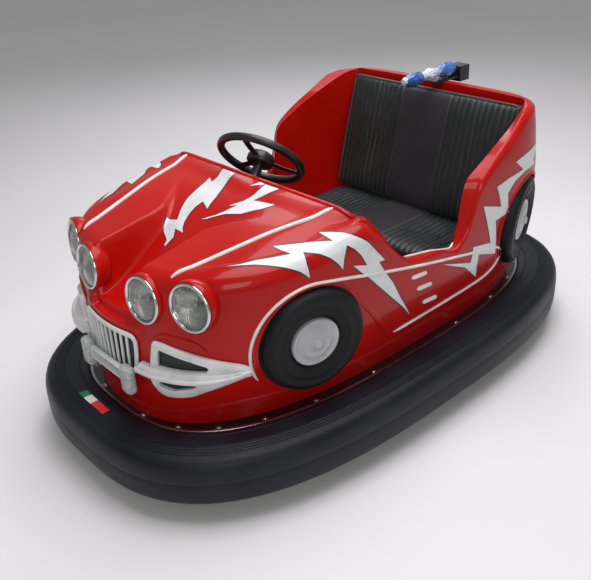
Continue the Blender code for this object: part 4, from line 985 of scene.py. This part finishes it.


# Nose trim: a grille of slim upright bars in a rounded frame over a black sheet of painted
# shade for its recess, a plate across its foot and an upright overrider at each end of the
# plate. All of it is cast or moulded, sprayed silver white, with a fine texture on the faces.

trim_white = finish("Silver white casting", (0.58, 0.60, 0.60), (0.74, 0.75, 0.74), (0.24, 0.40), mottle=16.0,
                    grain=420.0, relief=0.0002, scratches=0.12, coat_weight=0.3)
speckled_grey = finish("Speckled grey casting", (0.30, 0.33, 0.34), (0.56, 0.58, 0.57), (0.35, 0.55),
                       mottle=110.0, grain=420.0, relief=0.0003)
# Painted shade: near-black for the sheets laid on the body behind the grille and the wing openings, where a
# recess would be dark.
painted_shade_black = finish("Painted shade black", (0.006, 0.008, 0.008), (0.012, 0.015, 0.014), (0.40, 0.60), mottle=10.0)
GRILLE_LOW, GRILLE_HIGH, GRILLE_HALF = 0.352, 0.489, 0.137
FOOT_SHARE = 0.88
BAR_PITCH = 0.0245


def grille_front(x):
    """How far forward the middle of the bars stands."""
    return snout_face(x) - 0.0060


def grille_half(z):
    """Half the width of the grille at a height: it narrows downwards."""
    return GRILLE_HALF * (FOOT_SHARE + (1 - FOOT_SHARE) * (z - GRILLE_LOW) / (GRILLE_HIGH - GRILLE_LOW))


def oval(wide, tall, steps=10):
    """An oval section for a bar or a spoke."""
    return [(wide * math.cos(2 * math.pi * i / steps),
             tall * math.sin(2 * math.pi * i / steps)) for i in range(steps)]


made = bmesh.new()
corners = []
top, foot = GRILLE_HIGH - 0.008, GRILLE_LOW + 0.006
for side in (1, -1):
    half_top, half_foot = grille_half(top) - 0.008, grille_half(foot) - 0.008
    up = [(half_foot - 0.012, foot), (half_foot, foot + 0.012), (half_top, top - 0.020),
          (half_top - 0.006, top - 0.006), (half_top - 0.020, top)]
    corners += up if side > 0 else [(-x, z) for x, z in reversed(up)]
outline = smooth_line([(x, 0.0, z) for x, z in corners], 140, closed=True)
outline = [Vector((point.x, grille_front(point.x), point.z)) for point in outline]
sweep(made, outline, [Vector((0, -1, 0))] * len(outline), oval(0.0078, 0.0055, 12), closed=True)
for number in range(-4, 5):
    x = number * BAR_PITCH
    line = [Vector((x * (FOOT_SHARE + (1 - FOOT_SHARE) * t), grille_front(x), foot + (top - foot) * t))
            for t in np.linspace(0.0, 1.0, 10)]
    sweep(made, line, [Vector((0, -1, 0))] * len(line), oval(0.0034, 0.0045, 10))
piece("grille_bars", made, trim_white, slot="silver", replaces=["grille"], sharp=60)
# Painted shade: a black sheet 1 mm off the body behind the bars, where the recess would be dark.
rows = []
for z in np.linspace(foot, top, 8):
    across = np.linspace(-1, 1, 24) * (grille_half(z) - 0.010)
    rows.append([Vector((x, snout_face(x) - 0.0010, z)) for x in across])
skin_piece("grille_painted_shade", rows, painted_shade_black, slot="black")


def rounded_block(node, corner, segments):
    """A block the size of a CAD solid, with rounded edges."""
    low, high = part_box(node)
    made = bmesh.new()
    place = Matrix.Translation((low + high) / 2) @ Matrix.Diagonal((*(high - low), 1.0))
    bmesh.ops.create_cube(made, size=1.0, matrix=place)
    bmesh.ops.bevel(made, geom=made.edges[:], offset=corner, affect="EDGES", segments=segments, profile=0.5,
                    material=-1)
    return made


made = rounded_block("centre_bumper", 0.005, 3)
front = [face for face in made.faces if face.normal.y < -0.99 and face.calc_area() > 0.003]
bmesh.ops.inset_region(made, faces=front, thickness=0.004, depth=-0.0015)
for face in front:
    face.material_index = 1
piece("centre_plate", made, trim_white, speckled_grey, slot="silver", replaces=["centre_bumper"])
for side, hand in SIDES:
    made = rounded_block("overrider_" + hand, 0.0135, 6)
    piece("overrider_cap_" + hand, made, speckled_grey, slot="silver", replaces=["overrider_" + hand],
          sharp=60)


# Side bumpers: a moulded wing hugs each front corner of the body and carries a blade
# that stands out from it, with a rolled edge. Two openings in the wing show a black sheet
# behind them: painted shade laid on the body where a recess would be dark.

# where on the nose, top, foot, and how far the blade stands out
WING_STATIONS = (
    (0.1476, 0.404, 0.388, 0.038), (0.1860, 0.404, 0.388, 0.041), (0.1920, 0.487, 0.356, 0.041),
    (0.2070, 0.487, 0.335, 0.042), (0.2210, 0.486, 0.322, 0.042), (0.2520, 0.480, 0.312, 0.042),
    (0.3000, 0.468, 0.320, 0.042), (0.3330, 0.455, 0.340, 0.040), (0.3700, 0.436, 0.364, 0.032),
    (0.3870, 0.424, 0.376, 0.024), (0.3990, 0.408, 0.384, 0.015),
)
WING_THICK = 0.013
BLADE_TOP, BLADE_LOW = 0.404, 0.388


def side_of(point, side):
    """The point on the left side of the car, or its mirror image on the right."""
    return Vector((side * point.x, point.y, point.z))


def wing_at(share):
    """Top, foot and reach of the wing at a place along it."""
    places = [row[0] for row in WING_STATIONS]
    return [eased(places, [row[i] for row in WING_STATIONS], share) for i in (1, 2, 3)]


def wing_section(top, foot, out):
    """Section of the wing and its blade: how far off the body, and the height."""
    low_edge, high_edge = min(foot + 0.0040, BLADE_LOW - 0.001), max(top - 0.0040, BLADE_TOP + 0.001)
    back = [(0.0009, top + (foot - top) * t) for t in (0.0, 0.2, 0.4, 0.6, 0.8, 1.0)]
    return back + [
        (WING_THICK * 0.7, foot), (WING_THICK, low_edge), (WING_THICK, (low_edge + BLADE_LOW) / 2),
        (WING_THICK, BLADE_LOW), (WING_THICK + 0.003, BLADE_LOW - 0.0006),
        (out * 0.6 + 0.005, BLADE_LOW + 0.001), (out - 0.004, BLADE_LOW + 0.0015),
        (out - 0.001, BLADE_LOW + 0.0035), (out, BLADE_LOW + 0.008), (out - 0.001, BLADE_TOP - 0.0015),
        (out - 0.004, BLADE_TOP + 0.0005), (out - 0.0075, BLADE_TOP - 0.0018),
        (out * 0.6, BLADE_TOP - 0.0030), (WING_THICK + 0.004, BLADE_TOP - 0.0005),
        (WING_THICK, BLADE_TOP + 0.002), (WING_THICK, (high_edge + BLADE_TOP) / 2), (WING_THICK, high_edge),
        (WING_THICK * 0.7, top),
    ]


def opening(made, corners, side):
    """A rounded prism square to the body, through the wing."""
    middle = sum(share for share, _ in corners) / len(corners)
    here = on_skin(rib_angle("nose", middle), BLADE_TOP)
    away = (on_skin(rib_angle("nose", middle), BLADE_TOP, -0.1) - here).normalized()
    flat = [on_skin(rib_angle("nose", share), z) for share, z in corners]
    rows = [[side_of(point + away * reach, side) for point in flat] for reach in (-0.03, 0.08)]
    fresh = bmesh.new()
    lofted(fresh, rows, round_rows=True, capped=True)
    absorb(made, fresh)


# (place along the wing, height) of each opening's corners
UPPER_OPENING = ((0.212, 0.4135), (0.210, 0.462), (0.216, 0.469), (0.250, 0.463), (0.300, 0.449),
                 (0.334, 0.433), (0.338, 0.425), (0.332, 0.4135))
LOWER_OPENING = ((0.222, 0.348), (0.217, 0.354), (0.220, 0.366), (0.312, 0.366), (0.316, 0.362),
                 (0.306, 0.354), (0.262, 0.340))
SHADE_SHEET_EDGE, SHADE_SHEET_OFF = 0.006, 0.0030
columns = np.concatenate([np.linspace(0.1476, 0.1850, 8), np.linspace(0.1866, 0.1930, 5),
                          np.linspace(0.197, 0.399, 44)])
for side, hand in SIDES:
    rows = []
    for share in columns:
        angle = rib_angle("nose", share)
        rows.append([side_of(on_skin(angle, z, -away), side) for away, z in wing_section(*wing_at(share))])
    made = bmesh.new()
    lofted(made, rows, round_rows=True, capped=True)
    wing = piece("wing_bumper_" + hand, made, trim_white, slot="silver", replaces=["side_bumper_" + hand],
                 sharp=50)
    holes = bmesh.new()
    for corners in (UPPER_OPENING, LOWER_OPENING):
        opening(holes, corners, side)
    cut_away(wing, holes, "openings")
    # Painted shade: a black sheet 3 mm off the body behind the openings, where a recess would be dark.
    rows = []
    for share in np.linspace(0.205, 0.345, 24):
        angle = rib_angle("nose", share)
        top, foot, _ = wing_at(share)
        heights = np.linspace(foot + SHADE_SHEET_EDGE, top - SHADE_SHEET_EDGE, 12)
        rows.append([side_of(on_skin(angle, z, -SHADE_SHEET_OFF), side) for z in heights])
    skin_piece("wing_painted_shade_" + hand, rows, painted_shade_black, slot="black")


# Cockpit: a black dash across the front of the foot space, a steering column in a collar,
# a wheel with a moulded rim and three spokes, and a ribbed rubber pedal.

soft_black = finish("Moulded black", (0.006, 0.006, 0.007), (0.014, 0.014, 0.015), (0.30, 0.48), mottle=10.0,
                    grain=320.0, relief=0.0002, coat_weight=0.2)
carpet_black = finish("Textured black board", (0.008, 0.008, 0.009), (0.020, 0.020, 0.021), (0.55, 0.75),
                      mottle=12.0, grain=420.0, relief=0.0006)
show(carpet_black, "dash_panel", "seat_base")
show(soft_black, "steering_column")
STEER_CENTRE = Vector((-0.100, -0.150, 0.757))
STEER_AXIS = Vector((-0.25, 0.70, 0.67)).normalized()
WHEEL_RADIUS, RIM_THICK = 0.137, 0.013
SPOKE_LINE = ((0.018, -0.004), (0.045, -0.005), (0.075, -0.006), (0.105, -0.005), (0.132, -0.002))
column = facing(STEER_CENTRE, STEER_AXIS)
made = bmesh.new()
rim = [(WHEEL_RADIUS + x, z) for x, z in oval(RIM_THICK, RIM_THICK, 16)]
spun(made, rim, 96, column, closed=True)
for number in range(3):
    spread = column @ Matrix.Rotation(math.radians(90 + 120 * number), 4, "Z")
    line = [spread @ Vector((x, 0, z)) for x, z in SPOKE_LINE]
    sweep(made, line, [STEER_AXIS] * len(line), oval(0.0125, 0.0042, 12))
    for x in (0.062, 0.100):
        round_bolt(made, spread @ Vector((x, 0, -0.002)), STEER_AXIS, 0.0035)
core = [(0.0, -0.020), (0.040, -0.020), (0.045, -0.014), (0.045, 0.002), (0.043, 0.006), (0.0, 0.006)]
spun(made, core, 48, column)
piece("steering_wheel_moulded", made, soft_black, body="steering", slot="black", replaces=["steering_wheel"],
      sharp=50)
boss = [(0.0, 0.0064), (0.041, 0.0064), (0.041, 0.0105), (0.0395, 0.0135), (0.035, 0.0165), (0.027, 0.0205),
        (0.018, 0.0240), (0.009, 0.0262), (0.0, 0.0270)]
turned_piece("steering_cap", boss, 48, column, soft_black, body="steering", slot="black",
             replaces=["steering_boss"], sharp=50)
collar = [(0.0165, -0.262), (0.034, -0.262), (0.034, -0.256), (0.026, -0.238), (0.0205, -0.225),
          (0.0165, -0.225)]
turned_piece("column_collar", collar, 40, column, soft_black, closed=True, slot="black")

PEDAL_HEEL, PEDAL_SLOPE = (-0.080, -0.170, 0.2064), math.radians(-28)
PEDAL_WIDE, PEDAL_LONG, PEDAL_THICK = 0.090, 0.130, 0.008
made = bmesh.new()
plate = Matrix.Diagonal((PEDAL_WIDE, PEDAL_LONG, PEDAL_THICK, 1))
plate = Matrix.Translation((0, -PEDAL_LONG / 2, PEDAL_THICK / 2)) @ plate
bmesh.ops.create_cube(made, size=1.0, matrix=plate)
bmesh.ops.bevel(made, geom=made.edges[:], offset=0.002, affect="EDGES", segments=2, profile=0.5, material=-1)
for number in range(9):
    line = [Vector((x, -0.012 - 0.0132 * number, PEDAL_THICK)) for x in np.linspace(-0.040, 0.040, 8)]
    sweep(made, line, [Vector((0, 0, 1))] * len(line), half_round(0.005, 0.0022), taper=1)
slope = Matrix.Translation(PEDAL_HEEL) @ Matrix.Rotation(PEDAL_SLOPE, 4, "X")
bmesh.ops.transform(made, matrix=slope, verts=made.verts)
piece("pedal_tread", made, floor_rubber, slot="rubber", replaces=["accelerator_pedal"])


# Seat: a bench cushion and a back of black vinyl over foam, sewn in narrow upright
# channels on both sides of a smooth middle band, with welted edges. The foam stands
# up between the seams and sinks in where riders sit.

vinyl = finish("Black vinyl", (0.0045, 0.0060, 0.0062), (0.0105, 0.0135, 0.0135), (0.26, 0.42), mottle=5.0,
               grain=520.0, relief=0.0004, scratches=0.12, sheen_weight=0.22, sheen_roughness=0.35,
               sheen_tint=(0.55, 0.85, 0.80, 1.0))
band_vinyl = finish("Grey violet vinyl", (0.0075, 0.0075, 0.0105), (0.0150, 0.0145, 0.0200), (0.30, 0.45),
                    mottle=5.0, grain=520.0, relief=0.0004, sheen_weight=0.12)
welt_vinyl = finish("Welt vinyl", (0.030, 0.034, 0.038), (0.060, 0.064, 0.070), (0.30, 0.45), mottle=9.0,
                    grain=520.0)
CHANNEL, CHANNEL_DEEP, BAND_SEAM = 0.0235, 0.0065, 0.0045


def upholstered(name, half, deep, thick, where, middle, crown, hollow, node):
    """A foam pad: a crowned block, quilted in channels on both sides of its middle band."""
    made = bmesh.new()
    bmesh.ops.create_grid(made, x_segments=230, y_segments=44, size=1.0)
    drawn = bmesh.ops.extrude_face_region(made, geom=made.faces[:])
    for item in drawn["geom"]:
        if isinstance(item, bmesh.types.BMVert):
            item.co.z = 1.0
    for face in made.faces:
        if abs(face.calc_center_median().x * half) < middle:
            face.material_index = 1
    for vert in made.verts:
        u, v, upper = vert.co.x, vert.co.y, vert.co.z > 0.5
        x, y = u * half, v * deep / 2
        round_x, round_y = 1 - abs(u) ** 26, 1 - abs(v) ** 12
        edge = (max(0.0, round_x) ** 0.42) * (max(0.0, round_y) ** 0.42)
        if upper:
            puff = crown * (1 - u ** 4) * (1 - v ** 4)
            for seat in (-0.5, 0.5):
                puff -= hollow * math.exp(-((u - seat) / 0.26) ** 2 - ((v + 0.05) / 0.55) ** 2)
            beyond = abs(x) - middle
            if beyond > 0:
                phase = (beyond % CHANNEL) / CHANNEL
                quilt = abs(math.sin(math.pi * phase)) ** 0.55
                puff += CHANNEL_DEEP * (quilt - 1) * min(1.0, (1 - abs(v)) * 7)
                puff += 0.0012 * noise.noise(Vector((beyond // CHANNEL * 3.7, v * 5.0, 1.5)))
            else:
                puff -= BAND_SEAM * math.exp(-((abs(x) - middle) / 0.004) ** 2)
                puff -= 0.0020 * (1 - (x / middle) ** 2)
            z = thick * (0.34 + 0.66 * edge) - crown + puff
            z += 0.0015 * noise.noise(Vector((x * 9, y * 9, 0.3)))
        else:
            z = thick * 0.14 * (1 - edge)
        vert.co = Vector((x, y, z))
    bmesh.ops.recalc_face_normals(made, faces=made.faces)
    bmesh.ops.transform(made, matrix=where, verts=made.verts)
    pad = piece(name, made, vinyl, band_vinyl, slot="vinyl", replaces=[node], sharp=80)


low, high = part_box("seat_cushion")
cushion_place = Matrix.Translation(((low.x + high.x) / 2, (low.y + high.y) / 2, low.z))
upholstered("cushion_pad", (high.x - low.x) / 2 - 0.001, high.y - low.y - 0.002, high.z - low.z,
            cushion_place, 0.095, 0.010, 0.009, "seat_cushion")

LEAN = Matrix.Rotation(math.radians(-16.0), 4, "X")
BACK_FOOT = Matrix.Translation((0.0, 0.437, 0.4304))
BACK_HALF, BACK_TALL, BACK_THICK = 0.380, 0.437, 0.045
standing = Matrix.Translation((0.0, BACK_THICK, 0.0078 + BACK_TALL / 2))
back_place = BACK_FOOT @ LEAN @ standing @ Matrix.Rotation(math.radians(90), 4, "X")
upholstered("back_pad", BACK_HALF - 0.001, BACK_TALL - 0.004, BACK_THICK, back_place, 0.110, 0.008, 0.005,
            "seat_back")

WELT_LINE = ((-0.374, -0.150), (-0.372, 0.196), (-0.362, 0.212), (0.362, 0.212), (0.372, 0.196),
             (0.374, -0.150))
WELT_UP, WELT_RADIUS = 0.021, 0.0052
line = smooth_line([back_place @ Vector((x, y, WELT_UP)) for x, y in WELT_LINE], 110)
out = back_place.to_3x3() @ Vector((0, 0, 1))
strip("back_welt", [(line, [out] * len(line))], oval(WELT_RADIUS, WELT_RADIUS, 10), welt_vinyl, "vinyl")


# Pole fitting: the socket block of the contact pole is clamped to the rim behind the seat
# by a strap, and its clamps are still wrapped in blue and clear film, drawn in at the
# waists and crumpled.

show(soft_black, "pole_socket")
blue_film = finish("Blue film", (0.010, 0.075, 0.30), (0.040, 0.17, 0.50), (0.10, 0.25), mottle=40.0,
                   grain=120.0, relief=0.0012, coat_weight=0.8)
clear_film = finish("Clear film", (0.32, 0.42, 0.56), (0.78, 0.82, 0.86), (0.08, 0.22), mottle=60.0,
                    grain=140.0, relief=0.0016, coat_weight=0.8)
low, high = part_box("pole_wrap")
centre = (low + high) / 2
run, radius = high.y - low.y, (high.z - low.z) / 2
# how far along the wrap, and its radius there as a share of the widest
LUMPS = (
    (0.000, 0.05), (0.010, 0.40), (0.060, 0.62), (0.120, 0.84), (0.180, 0.96), (0.250, 0.98), (0.310, 0.86),
    (0.350, 0.66), (0.400, 0.60), (0.450, 0.72), (0.510, 0.90), (0.570, 0.84), (0.620, 0.64), (0.660, 0.60),
    (0.710, 0.80), (0.780, 0.96), (0.860, 0.98), (0.930, 0.86), (0.985, 0.66), (1.000, 0.30),
)
places, shares = zip(*LUMPS)
outline = [(radius * 0.94 * eased(places, shares, t), run * t) for t in np.linspace(0.0, 1.0, 72)]
outline = [(0.0, 0.0)] + outline + [(0.0, run)]
made = bmesh.new()
spun(made, outline, 64, facing((centre.x, low.y, centre.z), (0, 1, 0)))
for vert in made.verts:
    axis = Vector((centre.x, vert.co.y, centre.z))
    away = vert.co - axis
    if away.length > 0.001:
        crease = noise.noise(Vector((vert.co.x * 70, vert.co.y * 45, vert.co.z * 70)))
        fold = abs(noise.noise(Vector((vert.co.x * 160, vert.co.y * 90, vert.co.z * 160 + 3))))
        vert.co = axis + away * min(1.06, 1.0 + 0.07 * crease - 0.16 * fold)
for face in made.faces:
    at = (face.calc_center_median().y - low.y) / run
    wander = 0.05 * noise.noise(face.calc_center_median() * 60)
    face.material_index = 1 if 0.34 < at + wander < 0.66 or at + wander < 0.05 else 0
piece("film_wrap", made, blue_film, clear_film, slot="film", replaces=["pole_wrap"], sharp=25)
STRAP_TOP = 0.8714
made = bmesh.new()
for y in (0.628, 0.668):
    round_bolt(made, (0.0, y, STRAP_TOP), (0, 0, 1), 0.0050)
piece("strap_bolts", made, bright_steel, slot="steel")


# Studio: a plain pale floor, a large soft light overhead, two soft ones beside it, and
# the camera at standing height in front of the car's left corner.

floor_look = finish("Studio floor", (0.80, 0.80, 0.80), (0.84, 0.84, 0.84), (0.75, 0.85), mottle=0.5,
                    grain=20.0)
made = bmesh.new()
bmesh.ops.create_grid(made, x_segments=2, y_segments=2, size=30.0)
mesh = bpy.data.meshes.new("studio_floor")
made.to_mesh(mesh)
made.free()
mesh.materials.append(floor_look)
studio_floor = bpy.data.objects.new("studio_floor", mesh)
bpy.context.scene.collection.objects.link(studio_floor)

world = bpy.data.worlds.new("Studio")
bpy.context.scene.world = world
world.use_nodes = True
world.node_tree.nodes["Background"].inputs["Color"].default_value = (1.0, 1.0, 1.0, 1.0)
world.node_tree.nodes["Background"].inputs["Strength"].default_value = 0.30

for name, spot, size, power, tint in (
    ("overhead", (0.3, 0.2, 3.2), (3.2, 2.0), 95.0, (1.0, 0.94, 1.0)),
    ("front_left", (3.2, -2.6, 2.4), (1.6, 1.6), 34.0, (1.0, 0.98, 0.95)),
    ("rear_right", (-2.6, 2.4, 2.6), (2.0, 1.2), 26.0, (0.95, 0.95, 1.0)),
):
    lamp = bpy.data.lights.new(name, "AREA")
    lamp.shape = "RECTANGLE"
    lamp.size, lamp.size_y = size
    lamp.energy = power
    lamp.color = tint
    holder = bpy.data.objects.new(name, lamp)
    bpy.context.scene.collection.objects.link(holder)
    holder.matrix_world = facing(spot, Vector(spot) - Vector((0.0, 0.0, 0.3)))

EYE = Vector((1.815, -1.675, 1.599))
FORWARD = Vector((-0.66717, 0.57118, -0.47816)).normalized()
RIGHT = Vector((0.67025, 0.74040, -0.05075))
right = (RIGHT - FORWARD * RIGHT.dot(FORWARD)).normalized()
upwards = right.cross(FORWARD)
turned = Matrix((right, upwards, -FORWARD)).transposed().to_4x4()
FOCAL_WIDTHS, SENSOR = 788.5 / 591, 36.0
optics = bpy.data.cameras.new("camera")
optics.sensor_width = SENSOR
optics.lens = FOCAL_WIDTHS * SENSOR
camera = bpy.data.objects.new("camera", optics)
bpy.context.scene.collection.objects.link(camera)
camera.matrix_world = Matrix.Translation(EYE) @ turned
bpy.context.scene.camera = camera
bpy.context.scene.view_settings.view_transform = "Standard"

bpy.context.view_layer.update()
